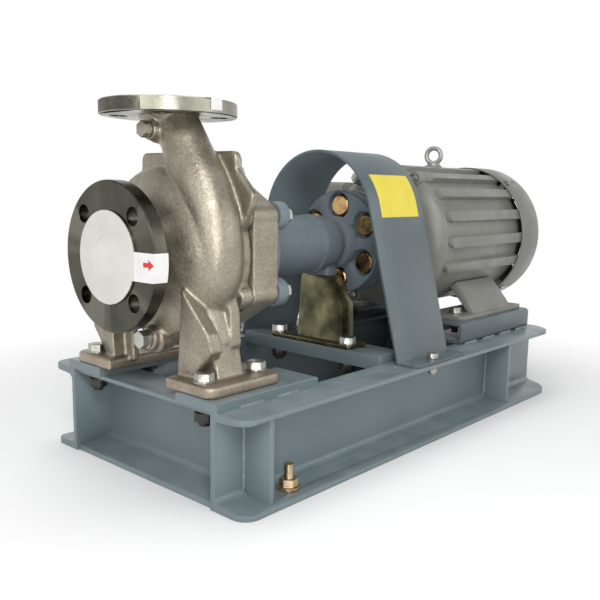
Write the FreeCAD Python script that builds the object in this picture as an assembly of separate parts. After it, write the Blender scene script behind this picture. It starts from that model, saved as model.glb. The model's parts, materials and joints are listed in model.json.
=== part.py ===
import FreeCAD, Part
import math
import os

# Horizontal end-suction pump set: pump, flange coupling, guard and foot-mounted motor on a welded base.
# X runs along the shaft from the suction flange to the motor, -Y is the near side,
# Z is up. The origin lies on the floor, under the middle of the overall length, in the shaft's plane.

V = FreeCAD.Vector
os.makedirs("parts", exist_ok=True)

# Driving dimensions (mm)
base_length = 682.0
base_width = 342.0
base_height = 100.0
base_front = 49.0
flange_width = 50.0
web = 6.0
flange_root = 8.3
flange_tip = 5.5
pump_corner_r = 18.0
motor_corner_r = 45.0
end_inset = 3.0
stiffener_inset = (41.0, 145.0)
stiffener_thickness = 6.0
stiffener_depth = 38.5

pad_height = 10.0
pad_length = 147.0
pad_width = 63.0
pad_overlap = 10.0
bar_width = 50.0
bar_thickness = 19.0
bar_front = 32.5

feet_to_shaft = 132.0
shaft_to_discharge = 160.0
suction_to_discharge_axis = 80.0
discharge_x = -303.0
foot_bolt_spread = 72.0
suction_bore_r = 25.0
suction_flange_r = 77.5
suction_flange_t = 16.0
suction_face_r = 48.0
suction_pcd = 120.0
discharge_bore_r = 20.0
discharge_flange_r = 72.0
discharge_flange_t = 14.5
discharge_face_r = 40.5
discharge_pcd = 105.0
flange_hole_r = 9.5
raised_face = 1.5

scroll_to_joint = 39.0
ear_t = 9.0
rear_flange_t = 17.0
cover_length = 38.0
cover_collar = 28.0
barrel_r = 81.0
boss_r = 13.5
stud_circle_r = 87.7
chamber_r = 84.0
chamber_front = 19.0
spigot_length = 19.0
eye_r = 33.0
impeller_r = 79.0

housing_flange_t = 14.0
housing_flange_r = barrel_r - 1
housing_tube_r = 38.0
housing_length = 182.5
bearing_outer_r = 31.0
bearing_width = 16.0
shaft_r = 15.0
shaft_end_r = 12.0

coupling_r = 70.0
coupling_hub_r = 35.5
coupling_flange_t = 18.0
coupling_length = 35.4
motor_hub_length = 55.0
coupling_gap = 3.0
coupling_stand = 25.9
bolt_circle_r = 50.0
bush_r = 15.9
bush_hole_r = 16.0
recess_r = 18.2
pin_head_r = 14.0
pin_r = 8.0
pin_clearance = 0.35
running = 0.05

guard_front = 46.4
guard_length = 115.5
guard_r = 91.5
guard_z = 272.6
guard_edge_gap = 3.0
guard_foot_w = 28.0
guard_t = 3.0

motor_height = 112.0
rail_ends = (43.5, 26.0)
rail_overlap = 11.0
rail_width = 62.0
rail_t = 5.0
motor_bolt_y = 95.0
motor_bolt_spread = 140.0
motor_bolt_back = 70.0
motor_stand = 71.6
motor_shaft_r = 14.0
motor_shaft_reach = 60.0
bracket_length = 29.0
frame_length = 218.0
frame_r = 101.0
rib_height = 7.6
rib_count = 18
rib_width = 15.0
fan_cover_length = 67.5
fan_cover_overlap = 5.0
fan_cover_r = frame_r + 9.8
sheet = 1.5
frame_bore_r = frame_r - 13

# Derived levels and stations
pad_top = base_height + pad_height
shaft_z = pad_top + feet_to_shaft
discharge_z = shaft_z + shaft_to_discharge
suction_x = discharge_x - suction_to_discharge_axis
rail_top = shaft_z - motor_height
base_x0 = discharge_x - base_front
base_x1 = base_x0 + base_length
foot_bolt_x = (base_x0 + 15, base_x0 + 15 + foot_bolt_spread)
joint_x = discharge_x + scroll_to_joint
rear_flange_x = joint_x - rear_flange_t
cover_step_x = joint_x + cover_collar
housing_face_x = joint_x + cover_length
chamber_front_x = discharge_x - chamber_front
cover_spigot_x = joint_x - spigot_length
housing_end_x = housing_face_x + housing_length
coupling_face_x = housing_end_x + coupling_stand
web_back_y = base_width / 2 - flange_width
web_face_y = web_back_y + web
pad_outer_y = web_back_y + pad_overlap
pad_inner_y = pad_outer_y - pad_width
rail_outer_y = web_back_y + rail_overlap
guard_foot_out = base_width / 2 - guard_edge_gap
guard_foot_y = guard_foot_out - guard_foot_w
pump_bearing_x = (housing_face_x + housing_flange_t + 1.0, housing_end_x - 36.0)
coupling_hub_x = coupling_face_x - (coupling_length - coupling_flange_t)
motor_half_x = coupling_face_x + coupling_flange_t + coupling_gap
bar_front_x = housing_end_x - bar_front
guard_x0 = coupling_face_x - guard_front
guard_x1 = guard_x0 + guard_length
motor_face_x = motor_half_x + motor_stand
motor_bolt_x = (motor_face_x + motor_bolt_back, motor_face_x + motor_bolt_back + motor_bolt_spread)
rail_x0 = motor_bolt_x[0] - rail_ends[0]
rail_x1 = motor_bolt_x[1] + rail_ends[1]
frame_x0 = motor_face_x + bracket_length
frame_x1 = frame_x0 + frame_length
fan_cover_x0 = frame_x1 - fan_cover_overlap
fan_cover_x1 = fan_cover_x0 + fan_cover_length
fan_x0 = frame_x1 + 17
fan_x1 = fan_x0 + 26


def save(name, shape):
    """Write one sub-part to its own file."""
    shape.exportStep("parts/" + name + ".step")


def box(x0, x1, y0, y1, z0, z1):
    return Part.makeBox(x1 - x0, y1 - y0, z1 - z0, V(x0, y0, z0))


def rod_x(r, x0, x1, y=0.0, z=shaft_z):
    return Part.makeCylinder(r, x1 - x0, V(x0, y, z), V(1, 0, 0))


def rod_y(r, y0, y1, x, z):
    return Part.makeCylinder(r, y1 - y0, V(x, y0, z), V(0, 1, 0))


def rod_z(r, z0, z1, x, y):
    return Part.makeCylinder(r, z1 - z0, V(x, y, z0), V(0, 0, 1))


def fuse(first, *others):
    """Join pieces one after the other, then merge the faces that run on."""
    out = first
    for other in others:
        out = out.fuse(other)
    return out.removeSplitter()


def cut(first, *others):
    return first.cut(list(others)) if others else first


def polygon(points):
    return Part.Face(Part.makePolygon(points + [points[0]]))


def plate_yz(points, x0, x1):
    """A flat plate across the shaft, its outline given as (y, z)."""
    return polygon([V(x0, y, z) for y, z in points]).extrude(V(x1 - x0, 0, 0))


def turned(points, z=shaft_z):
    """A body turned about the shaft line from (x, r) points."""
    return polygon([V(x, 0, z + r) for x, r in points]).revolve(V(0, 0, z), V(1, 0, 0), 360)


def around_x(shape, angle, z=shaft_z):
    out = shape.copy()
    out.rotate(V(0, 0, z), V(1, 0, 0), angle)
    return out


def mirrored(shape):
    return shape.mirror(V(0, 0, 0), V(0, 1, 0))


def both(shape):
    return Part.makeCompound([shape, mirrored(shape)])


def edges_where(shape, test):
    return [e for e in shape.Edges if test(e)]


def along(edge, axis):
    """True for a straight edge parallel to an axis."""
    if not isinstance(edge.Curve, (Part.Line, Part.LineSegment)):
        return False
    d = edge.Vertexes[-1].Point - edge.Vertexes[0].Point
    return d.Length > 1e-6 and abs(d.dot(axis)) > 0.999 * d.Length


def hexagon(across, start, length, axis, turn=0.0):
    """A hexagonal prism; start is the centre of its first face."""
    r = across / math.sqrt(3)
    circle = []
    for k in range(6):
        a = math.radians(60 * k + turn)
        if axis == "x":
            circle.append(V(start.x, start.y + r * math.cos(a), start.z + r * math.sin(a)))
        elif axis == "y":
            circle.append(V(start.x + r * math.cos(a), start.y, start.z + r * math.sin(a)))
        else:
            circle.append(V(start.x + r * math.cos(a), start.y + r * math.sin(a), start.z))
    step = {"x": V(length, 0, 0), "y": V(0, length, 0), "z": V(0, 0, length)}[axis]
    return polygon(circle).extrude(step)


def rounded_corners(shape, axis, radius, test=None):
    picked = edges_where(shape, lambda e: along(e, axis) and (test is None or test(e)))
    return shape.makeFillet(radius, picked)


# Base frame of two long channels, two end channels and stiffening plates
def channel_profile(place):
    """Hot-rolled channel section: tapered flanges from the web's back at depth 0 to the tips."""
    h = base_height
    points = [(0, 0), (flange_width, 0), (flange_width, flange_tip), (web, flange_root),
              (web, h - flange_root), (flange_width, h - flange_tip), (flange_width, h), (0, h)]
    return polygon([place(d, z) for d, z in points])


def soften_channel(shape, axis, root_test, tip_test):
    shape = shape.makeFillet(7.0, edges_where(shape, lambda e: along(e, axis) and root_test(e)))
    return shape.makeFillet(3.0, edges_where(shape, lambda e: along(e, axis) and tip_test(e)))


def side_channel():
    body = channel_profile(lambda d, z: V(base_x0, -web_back_y - d, z)).extrude(V(base_length, 0, 0))
    mid = base_height / 2
    body = soften_channel(
        body, V(1, 0, 0),
        lambda e: abs(e.CenterOfMass.y + web_face_y) < 0.1,
        lambda e: abs(e.CenterOfMass.y + base_width / 2) < 0.1
        and abs(abs(e.CenterOfMass.z - mid) - (mid - flange_tip)) < 0.1)
    plan = box(base_x0, base_x1, -base_width / 2, -web_back_y, 0, base_height)
    for x, r in ((base_x0, pump_corner_r), (base_x1, motor_corner_r)):
        corner = edges_where(plan, lambda e: along(e, V(0, 0, 1)) and abs(e.CenterOfMass.x - x) < 0.1
                             and abs(e.CenterOfMass.y + base_width / 2) < 0.1)
        plan = plan.makeFillet(r, corner)
    return body.common(plan)


def end_channel(tip_x, sign):
    """End member: flange tips at tip_x, web towards the middle of the frame."""
    back = tip_x + sign * flange_width
    body = channel_profile(lambda d, z: V(back - sign * d, -web_back_y, z))
    body = body.extrude(V(0, 2 * web_back_y, 0))
    mid = base_height / 2
    face = back - sign * web
    return soften_channel(
        body, V(0, 1, 0),
        lambda e: abs(e.CenterOfMass.x - face) < 0.1,
        lambda e: abs(e.CenterOfMass.x - tip_x) < 0.1
        and abs(abs(e.CenterOfMass.z - mid) - (mid - flange_tip)) < 0.1)


def stiffener(x):
    """Plate between the channel's flanges, its inner corners cut clear of the section's root radius."""
    slope = (flange_root - flange_tip) / (flange_width - web)
    low = lambda d: flange_root - slope * d
    notch = 9.0
    deep = stiffener_depth
    h = base_height
    points = [(0, low(0) + notch), (notch, low(notch)), (deep, low(deep)), (deep, h - low(deep)),
              (notch, h - low(notch)), (0, h - low(0) - notch)]
    half = stiffener_thickness / 2
    return plate_yz([(-web_face_y - d, z) for d, z in points], x - half, x + half)


side = side_channel()
stud_x = base_x0 + 81
stud_y = -(base_width / 2 - 21)
guard_bolt_x = guard_x0 + 56
guard_bolt_y = (guard_foot_y + guard_foot_out) / 2
pump_bolt_y = 95.0
foot_edge_y = 120.0
pump_bolt_r = 6.0
motor_bolt_r = 5.0
guard_bolt_r = 4.0
stud_r = 5.0
slack = 0.4

near_holes = [rod_z(stud_r, -1, flange_root + 1, stud_x, stud_y),
              rod_z(guard_bolt_r, base_height - flange_root - 1, base_height + 1, guard_bolt_x, -guard_bolt_y)]
far_holes = [rod_z(guard_bolt_r, base_height - flange_root - 1, base_height + 1, guard_bolt_x, guard_bolt_y)]
save("side_channel_near", cut(side, *near_holes))
save("side_channel_far", cut(mirrored(side), *far_holes))

pump_end = end_channel(base_x0 + end_inset, 1)
pump_end_holes = [rod_z(pump_bolt_r, base_height - flange_root - 2, base_height + 1, foot_bolt_x[0],
                        s * pump_bolt_y) for s in (-1, 1)]
save("end_channel_pump", cut(pump_end, *pump_end_holes))
save("end_channel_motor", end_channel(base_x1 - end_inset, -1))
save("channel_stiffeners", Part.makeCompound(
    [s for x in (base_x0 + stiffener_inset[0], base_x1 - stiffener_inset[1])
     for s in (stiffener(x), mirrored(stiffener(x)))]))


def pump_pad():
    pad = box(base_x0, base_x0 + pad_length, -pad_outer_y, -pad_inner_y, base_height, pad_top)
    pad = pad.makeChamfer(1.2, edges_where(pad, lambda e: abs(e.CenterOfMass.z - pad_top) < 0.1))
    return cut(pad, *[rod_z(pump_bolt_r, base_height - 1, pad_top + 1, x, -pump_bolt_y) for x in foot_bolt_x])


save("pump_pads", both(pump_pad()))

support_bolt_x = bar_front_x + 10
support_bolt_y = 61.0
bar = box(bar_front_x, bar_front_x + bar_width, -web_back_y, web_back_y, pad_top - bar_thickness, pad_top)
bar = bar.makeChamfer(1.0, edges_where(bar, lambda e: along(e, V(0, 1, 0))))
save("cross_bar", cut(bar, *[rod_z(pump_bolt_r, pad_top - bar_thickness - 1, pad_top + 1,
                                   support_bolt_x, s * support_bolt_y) for s in (-1, 1)]))


def motor_rail():
    """Folded rail: a web on the outer side, top and bottom plates turned inwards."""
    y0 = -rail_outer_y
    y1 = -rail_outer_y + rail_width
    rail = box(rail_x0, rail_x1, y0, y1, base_height, rail_top)
    rail = rounded_corners(rail, V(1, 0, 0), 6.0, lambda e: abs(e.CenterOfMass.y - y0) < 0.1)
    trough = box(rail_x0 - 1, rail_x1 + 1, y0 + rail_t, y1 + 1, base_height + rail_t, rail_top - rail_t)
    holes = [rod_z(motor_bolt_r, rail_top - rail_t - 1, rail_top + 1, x, -motor_bolt_y) for x in motor_bolt_x]
    return cut(rail, trough, *holes)


save("motor_rails", both(motor_rail()))


def bolt_down(x, y, seat, under, r, across, head, nut, tail=4.0, washer=2.5):
    """Hexagon bolt through a stack: washer and head on the seat, nut under the stack."""
    parts = [rod_z(r, under - nut - tail, seat + washer, x, y),
             rod_z(across * 0.62, seat, seat + washer, x, y),
             hexagon(across, V(x, y, seat + washer), head, "z", 15),
             hexagon(across, V(x, y, under - nut), nut, "z", 15)]
    return fuse(*parts)


earth = fuse(rod_z(stud_r, 0.5, 34.0, stud_x, stud_y),
             rod_z(12.0, flange_root - 2.2, 10.4, stud_x, stud_y),
             hexagon(17.0, V(stud_x, stud_y, 10.4), 8.0, "z", 10))
earth = earth.cut(side)
save("earth_stud", earth)

# Pump casing: scroll, leaning discharge neck, two flanges, squared rear flange and ribbed feet
foot_top = pad_top + 12.0
foot_x0 = base_x0 + 1
foot_x1 = foot_x0 + 102
foot_inner_y = 70.0
volute_r = 94.0
volute_x0 = discharge_x - 28
volute_x1 = discharge_x + 29
vane_x0 = discharge_x - 10
vane_x1 = discharge_x + 7
stud_angles = (28.6, 90, 151.4, 208.6, 270, 331.4)
ear_outline = [(80, 109), (80, 91), (105, 66), (103, 54), (84, 26), (84, -50), (60, -60)]


def on_circle(r, angle):
    t = math.radians(angle)
    return r * math.cos(t), shaft_z + r * math.sin(t)


def stud_places():
    for a in stud_angles:
        yield on_circle(stud_circle_r, a)


def rear_plate(x0, x1):
    """Flat rear plate of the casing: an ear at each upper corner and slanting shoulders."""
    points = [(y, shaft_z + z) for y, z in ear_outline]
    points += [(-y, shaft_z + z) for y, z in reversed(ear_outline)]
    plate = plate_yz(points, x0, x1)
    top = shaft_z + ear_outline[0][1]
    ears = edges_where(plate, lambda e: along(e, V(1, 0, 0)) and abs(e.CenterOfMass.z - top) < 0.1)
    plate = plate.makeFillet(8.0, ears)
    inner = shaft_z + ear_outline[1][1]
    return plate.makeFillet(6.0, edges_where(plate, lambda e: along(e, V(1, 0, 0))
                                             and abs(e.CenterOfMass.z - inner) < 0.1))


def flange_holes(r_circle, make):
    for k in range(4):
        a = math.radians(45 + 90 * k)
        yield make(r_circle * math.cos(a), r_circle * math.sin(a))


def section(y, z, lean, wide, thick):
    """Oval section of the flow path; lean turns it about X, wide lies across the shaft."""
    ring = Part.Ellipse(V(0, 0, 0), wide, thick).toShape()
    ring.rotate(V(0, 0, 0), V(0, 0, 1), 90)
    ring.rotate(V(0, 0, 0), V(1, 0, 0), lean)
    ring.translate(V(discharge_x, y, shaft_z + z))
    return Part.Wire([ring])


def throat(wall):
    """Sections from the end of the scroll up the leaning neck to the discharge flange."""
    top = shaft_to_discharge
    stations = ((-66, 46, -17, 29.0, 26.5), (-50, 76, -30, 29.0, 26.0), (-32, top - 54, -32, 26.0, 25.0),
                (-19, top - 32, -30, 24.0, 24.0), (-8, top - 16, -22, 23.5, 23.5),
                (-1.5, top - 4, -6, 23.5, 23.5))
    return [section(y, z, lean, wide - wall, thick - wall) for y, z, lean, wide, thick in stations]


def scroll():
    """Volute: round sections that grow from the tongue, round the far side, and run on into the neck."""
    wires = []
    for k in range(11):
        part = k / 10.0
        turn = 25 + 255 * part
        r = 15.0 + 11.0 * part
        middle = 75.5 + 1.5 * part
        t = math.radians(turn)
        wires.append(section(middle * math.sin(t), middle * math.cos(t), -(90 + turn), r + 0.01, r))
    return Part.makeLoft(wires + throat(0), True, False)


def casing_foot():
    """One cast foot: plate, sloping front panel set behind the bolt, and side wall up to the scroll."""
    plate = box(foot_x0, foot_x1, -foot_edge_y, -foot_inner_y + 20, pad_top, foot_top)
    plate = rounded_corners(plate, V(0, 0, 1), 12.0, lambda e: e.CenterOfMass.y < -100)
    low = foot_top - 4
    front = foot_bolt_x[0] + 13
    rear = foot_bolt_x[1] - 23
    outline = [(-42, low), (-46, shaft_z - 30), (-60, shaft_z - 40), (-92, shaft_z - 77), (-102, low)]
    inside = [(-34, low - 10), (-38, shaft_z - 22), (-56, shaft_z - 45), (-84, shaft_z - 81), (-94, low - 10)]
    column = plate_yz(outline, front, rear).cut(plate_yz(inside, front + 9, rear + 5))
    shoulder = plate_yz([(-60, shaft_z - 60), (-60, shaft_z - 30), (-86, shaft_z - 30), (-95, shaft_z - 52),
                         (-98, shaft_z - 90), (-90, shaft_z - 90)], rear - 14, rear)
    return fuse(plate, column, shoulder)


body = turned([(suction_x + 20, 0), (suction_x + 20, 41), (suction_x + 27, 39.5), (suction_x + 32, 41),
               (volute_x0 - 15, 47), (volute_x0 - 6, 66), (volute_x0, volute_r - 15), (volute_x0 + 5, volute_r - 7),
               (volute_x0 + 12, volute_r - 2), (volute_x0 + 20, volute_r), (volute_x1 - 14, volute_r),
               (volute_x1 - 6, volute_r - 4), (volute_x1, volute_r - 8), (volute_x1, 0)])
suction_flange = turned([(suction_x, 0), (suction_x, suction_face_r), (suction_x + raised_face, suction_face_r),
                         (suction_x + raised_face, suction_flange_r - 1),
                         (suction_x + raised_face + 1, suction_flange_r),
                         (suction_x + raised_face + suction_flange_t - 1, suction_flange_r),
                         (suction_x + raised_face + suction_flange_t, suction_flange_r - 1),
                         (suction_x + raised_face + suction_flange_t, 47), (suction_x + 23, 41),
                         (suction_x + 24, 0)])
rim_top = discharge_z - raised_face
rim_low = rim_top - discharge_flange_t
half = [(0, discharge_z), (discharge_face_r, discharge_z), (discharge_face_r, rim_top),
        (discharge_flange_r - 1, rim_top), (discharge_flange_r, rim_top - 1), (discharge_flange_r, rim_low + 1),
        (discharge_flange_r - 1, rim_low), (33, rim_low), (25, rim_low - 9), (0, rim_low - 9)]
discharge_flange = polygon([V(discharge_x + r, 0, z) for r, z in half])
discharge_flange = discharge_flange.revolve(V(discharge_x, 0, 0), V(0, 0, 1), 360)
gauge_z = discharge_z - 31
gauge_face_x = discharge_x - 31
gauge_y = -5.0
drain_y = -8.0
drain_z = shaft_z - 88
drain_face_x = discharge_x - 38
gauge_boss = fuse(rod_x(11.0, gauge_face_x, discharge_x, gauge_y, gauge_z),
                  rod_x(13.5, gauge_face_x + 8, gauge_face_x + 14, gauge_y, gauge_z))
drain_boss = fuse(rod_x(13.0, drain_face_x, volute_x1 - 20, drain_y, drain_z),
                  rod_x(16.0, drain_face_x + 8, drain_face_x + 26, drain_y, drain_z - 2))
rear_ring = rod_x(barrel_r + 6, volute_x1 - 6, joint_x)
rear_bosses = [rod_x(boss_r, rear_flange_x, joint_x, y, z) for y, z in stud_places()]
chamber = rod_x(chamber_r, chamber_front_x, volute_x1)
spigot_bore = rod_x(barrel_r - 3, volute_x1 - 1, joint_x + 1)
casing = body.cut(chamber)
for piece in [suction_flange, rear_ring, rear_plate(rear_flange_x, rear_flange_x + ear_t)] + rear_bosses + [
        casing_foot(), mirrored(casing_foot()), discharge_flange, drain_boss, gauge_boss, scroll()]:
    casing = casing.fuse(piece.cut(chamber))
casing = casing.cut(spigot_bore)
wall = 5.0
passage = [rod_x(suction_bore_r, suction_x - 1, volute_x0),
           turned([(volute_x0 - 9, 0), (volute_x0 - 9, suction_bore_r), (volute_x0, eye_r + 0.5),
                   (chamber_front_x + 1, eye_r + 0.5),
                   (chamber_front_x + 1, 0)]),
           rod_z(discharge_bore_r, discharge_z - 10, discharge_z + 1, discharge_x, 0),
           Part.makeLoft(throat(wall), True, False)]
holes = list(flange_holes(suction_pcd / 2, lambda a, b: rod_x(flange_hole_r, suction_x - 1, suction_x + 21,
                                                              a, shaft_z + b)))
holes += list(flange_holes(discharge_pcd / 2, lambda a, b: rod_z(flange_hole_r, rim_low - 2, discharge_z + 1,
                                                                 discharge_x + a, b)))
holes += [rod_x(pump_bolt_r, joint_x - 14, joint_x + 1, y, z) for y, z in stud_places()]
holes += [rod_z(pump_bolt_r + slack, pad_top - 1, foot_top + 1, x, s * pump_bolt_y)
          for x in foot_bolt_x for s in (-1, 1)]
holes += [rod_z(13.0, foot_top, foot_top + 14, x, s * pump_bolt_y) for x in foot_bolt_x for s in (-1, 1)]
holes += [rod_x(7.0, gauge_face_x - 1, gauge_face_x + 14, gauge_y, gauge_z),
          rod_x(7.0, drain_face_x - 1, drain_face_x + 16, drain_y, drain_z)]
save("casing", cut(casing, *(passage + holes)))


def hex_plug(face_x, y, z, across, head):
    return fuse(rod_x(7.0, face_x - 1, face_x + 13, y, z), rod_x(across * 0.58, face_x - 2.5, face_x, y, z),
                hexagon(across, V(face_x - 2.5 - head, y, z), head, "x", 30))


save("gauge_plug", hex_plug(gauge_face_x, gauge_y, gauge_z, 15.0, 6.0))
save("drain_plug", hex_plug(drain_face_x, drain_y, drain_z, 17.0, 9.0))

# Casing cover with the seal chamber
chamber_bore_r = 30.0
cover = turned([(joint_x, 0), (joint_x, barrel_r + 3), (cover_step_x, barrel_r + 3), (cover_step_x, barrel_r),
                (housing_face_x, barrel_r), (housing_face_x, 0)])
cover = fuse(cover, rod_x(barrel_r - 3.3, cover_spigot_x, joint_x + 1),
             *[rod_x(boss_r, joint_x, housing_face_x, y, z) for y, z in stud_places()])
cover = cut(cover, rod_x(chamber_bore_r, cover_spigot_x + 6, housing_face_x + 1),
            rod_x(shaft_r + 3, cover_spigot_x - 1, cover_spigot_x + 8),
            *[rod_x(pump_bolt_r + slack, joint_x - 1, housing_face_x + 1, y, z) for y, z in stud_places()])
housing_bolts = [(45 + 90 * k) for k in range(4)]
housing_bolt_r = 62.0
cover = cut(cover, *[rod_x(4.0, housing_face_x - 22, housing_face_x + 1, *on_circle(housing_bolt_r, a))
                     for a in housing_bolts])
save("casing_cover", cover)
nut_x = housing_face_x + housing_flange_t
save("casing_studs", Part.makeCompound(
    [fuse(rod_x(pump_bolt_r, joint_x - 12, nut_x + 14, y, z), hexagon(18.0, V(nut_x, y, z), 10.0, "x", 20))
     for y, z in stud_places()]))

# Impeller, nut, shaft and the rings of the shaft seal


def vane(angle):
    """Backward-curved vane: an arc band from the eye to the rim."""
    outer = Part.makeCylinder(58.0, vane_x1 - vane_x0, V(vane_x0, 30, shaft_z + 34), V(1, 0, 0))
    inner = Part.makeCylinder(54.5, vane_x1 - vane_x0, V(vane_x0, 30, shaft_z + 34), V(1, 0, 0))
    band = outer.cut(inner).common(box(vane_x0, vane_x1, -90, 8, shaft_z - 90, shaft_z + 60))
    band = band.common(rod_x(impeller_r - 0.5, vane_x0, vane_x1)).cut(rod_x(24.0, vane_x0, vane_x1))
    return around_x(band, angle)


impeller = fuse(turned([(vane_x1, 0), (vane_x1, impeller_r), (vane_x1 + 4, impeller_r), (vane_x1 + 4, 24),
                        (cover_spigot_x - 2, 20), (cover_spigot_x - 2, 0)]),
                turned([(vane_x0 - 5, eye_r - 5), (vane_x0 - 13, eye_r - 5), (vane_x0 - 13, eye_r),
                        (vane_x0 - 7.5, eye_r), (vane_x0 - 3, eye_r + 3), (vane_x0 - 3, impeller_r),
                        (vane_x0, impeller_r), (vane_x0, eye_r - 2)]),
                turned([(vane_x0 - 2, 0), (vane_x0 - 2, 14), (vane_x1, 24), (vane_x1, 0)]),
                *[vane(60 * k) for k in range(6)])
impeller = cut(impeller, rod_x(10.0, vane_x0 - 20, joint_x))
save("impeller", impeller)
nut_face_x = vane_x0 - 2
shaft_tip_x = vane_x0 - 5
nut = fuse(hexagon(24.0, V(nut_face_x - 7.9, 0, shaft_z), 7.9, "x"),
           turned([(nut_face_x - 7.9, 0), (nut_face_x - 7.9, 10.5), (nut_face_x - 13, 9), (nut_face_x - 16, 5),
                   (nut_face_x - 17, 0)]))
save("impeller_nut", cut(nut, rod_x(10.0, shaft_tip_x, nut_face_x + 1)))
shaft = turned([(shaft_tip_x, 0), (shaft_tip_x, 10), (cover_spigot_x - 2, 10), (cover_spigot_x - 2, shaft_r),
                (pump_bearing_x[0] + bearing_width, shaft_r), (pump_bearing_x[0] + bearing_width, 19),
                (pump_bearing_x[1], 19), (pump_bearing_x[1], shaft_r), (housing_end_x + 5, shaft_r),
                (housing_end_x + 5, shaft_end_r), (coupling_face_x + coupling_flange_t - 2, shaft_end_r),
                (coupling_face_x + coupling_flange_t - 1, shaft_end_r - 1),
                (coupling_face_x + coupling_flange_t - 1, 0)])
key_w = 8.0
pump_key = box(coupling_hub_x + 2, coupling_face_x + coupling_flange_t - 3, -key_w / 2, key_w / 2,
               shaft_z + shaft_end_r - 4, shaft_z + shaft_end_r + 3)
save("pump_shaft", cut(shaft, pump_key))
seal_x = joint_x + 2
save("seal_ring", turned([(seal_x, shaft_r), (seal_x, 24), (seal_x + 20, 24), (seal_x + 20, 20),
                          (seal_x + 24, 20), (seal_x + 24, shaft_r)]))
save("seal_seat", turned([(seal_x + 24.1, shaft_r + 0.6), (seal_x + 24.1, 26), (seal_x + 28, 26),
                          (seal_x + 28, chamber_bore_r), (seal_x + 36, chamber_bore_r),
                          (seal_x + 36, shaft_r + 0.6)]))

# Bearing housing with two ball bearings and its end cover
tube_x0 = housing_face_x + housing_flange_t
ring_x = housing_end_x - 40
housing = turned([(housing_face_x, 0), (housing_face_x, housing_flange_r), (tube_x0 - 2, housing_flange_r),
                  (tube_x0, housing_flange_r - 2), (tube_x0, 52), (tube_x0 + 12, housing_tube_r + 1),
                  (ring_x, housing_tube_r - 0.5), (ring_x, housing_tube_r + 1), (ring_x + 6, housing_tube_r + 1),
                  (ring_x + 6, housing_tube_r - 1), (housing_end_x - 9, housing_tube_r - 1.5),
                  (housing_end_x - 3, housing_tube_r - 4), (housing_end_x, housing_tube_r - 6), (housing_end_x, 0)])
lug_z = shaft_z - housing_tube_r - 3
lug = box(bar_front_x + 12, housing_end_x, -22, 22, lug_z, shaft_z - 20)
lug = rounded_corners(lug, V(0, 0, 1), 5.0)
housing = fuse(housing, lug, *[rod_x(boss_r + 2, housing_face_x, tube_x0, y, z) for y, z in stud_places()])
housing = cut(housing, *[rod_x(pump_bolt_r + slack, housing_face_x - 1, tube_x0 + 1, y, z)
                         for y, z in stud_places()])
inner = [rod_x(shaft_r + 0.6, housing_face_x - 1, housing_end_x + 1),
         rod_x(bearing_outer_r, pump_bearing_x[0], pump_bearing_x[0] + bearing_width),
         rod_x(27.5, pump_bearing_x[0] + bearing_width - 0.5, pump_bearing_x[1] + 0.5),
         rod_x(bearing_outer_r, pump_bearing_x[1], housing_end_x + 1)]
screws = [on_circle(25.0, 0 + 90 * k) for k in range(4)]
support_screw_x = bar_front_x + 27
housing = cut(housing, rod_z(4.0, lug_z - 1, lug_z + 5.5, support_screw_x, 0), *inner)
housing = cut(housing, *[rod_x(4.0 + slack, housing_face_x - 1, tube_x0 + 1, *on_circle(housing_bolt_r, a))
                         for a in housing_bolts])
save("bearing_housing", housing)
save("housing_bolts", Part.makeCompound(
    [fuse(rod_x(4.0, housing_face_x - 18, tube_x0 + 2, *on_circle(housing_bolt_r, a)),
          hexagon(13.0, V(tube_x0, *on_circle(housing_bolt_r, a)), 6.0, "x"))
     for a in housing_bolts]))


def bearing(x, inner_r, outer_r, width):
    """Ball bearing as its ring section: shields set back between inner and outer ring."""
    gap = (outer_r - inner_r) * 0.27
    return turned([(x, inner_r), (x, inner_r + gap), (x + 1.2, inner_r + gap), (x + 1.2, outer_r - gap),
                   (x, outer_r - gap), (x, outer_r), (x + width, outer_r), (x + width, outer_r - gap),
                   (x + width - 1.2, outer_r - gap), (x + width - 1.2, inner_r + gap),
                   (x + width, inner_r + gap), (x + width, inner_r)])


save("pump_bearings", Part.makeCompound([bearing(x, shaft_r + running, bearing_outer_r, bearing_width)
                                         for x in pump_bearing_x]))
cap_x = pump_bearing_x[1] + bearing_width
cap = turned([(cap_x, 23), (cap_x, bearing_outer_r), (housing_end_x, bearing_outer_r),
              (housing_end_x, bearing_outer_r + 0.8), (housing_end_x + 2.5, bearing_outer_r),
              (housing_end_x + 4, bearing_outer_r - 3), (housing_end_x + 4, shaft_r + 0.6),
              (housing_end_x - 2, shaft_r + 0.6), (housing_end_x - 2, 23)])
cap = cut(cap, *[rod_x(2.5, cap_x + 1, housing_end_x + 5, y, z) for y, z in screws])
save("bearing_cover", cap)
save("bearing_cover_screws", Part.makeCompound(
    [fuse(rod_x(2.5, housing_end_x - 10, housing_end_x + 4, y, z),
          hexagon(8.0, V(housing_end_x + 4, y, z), 3.0, "x")) for y, z in screws]))


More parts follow.
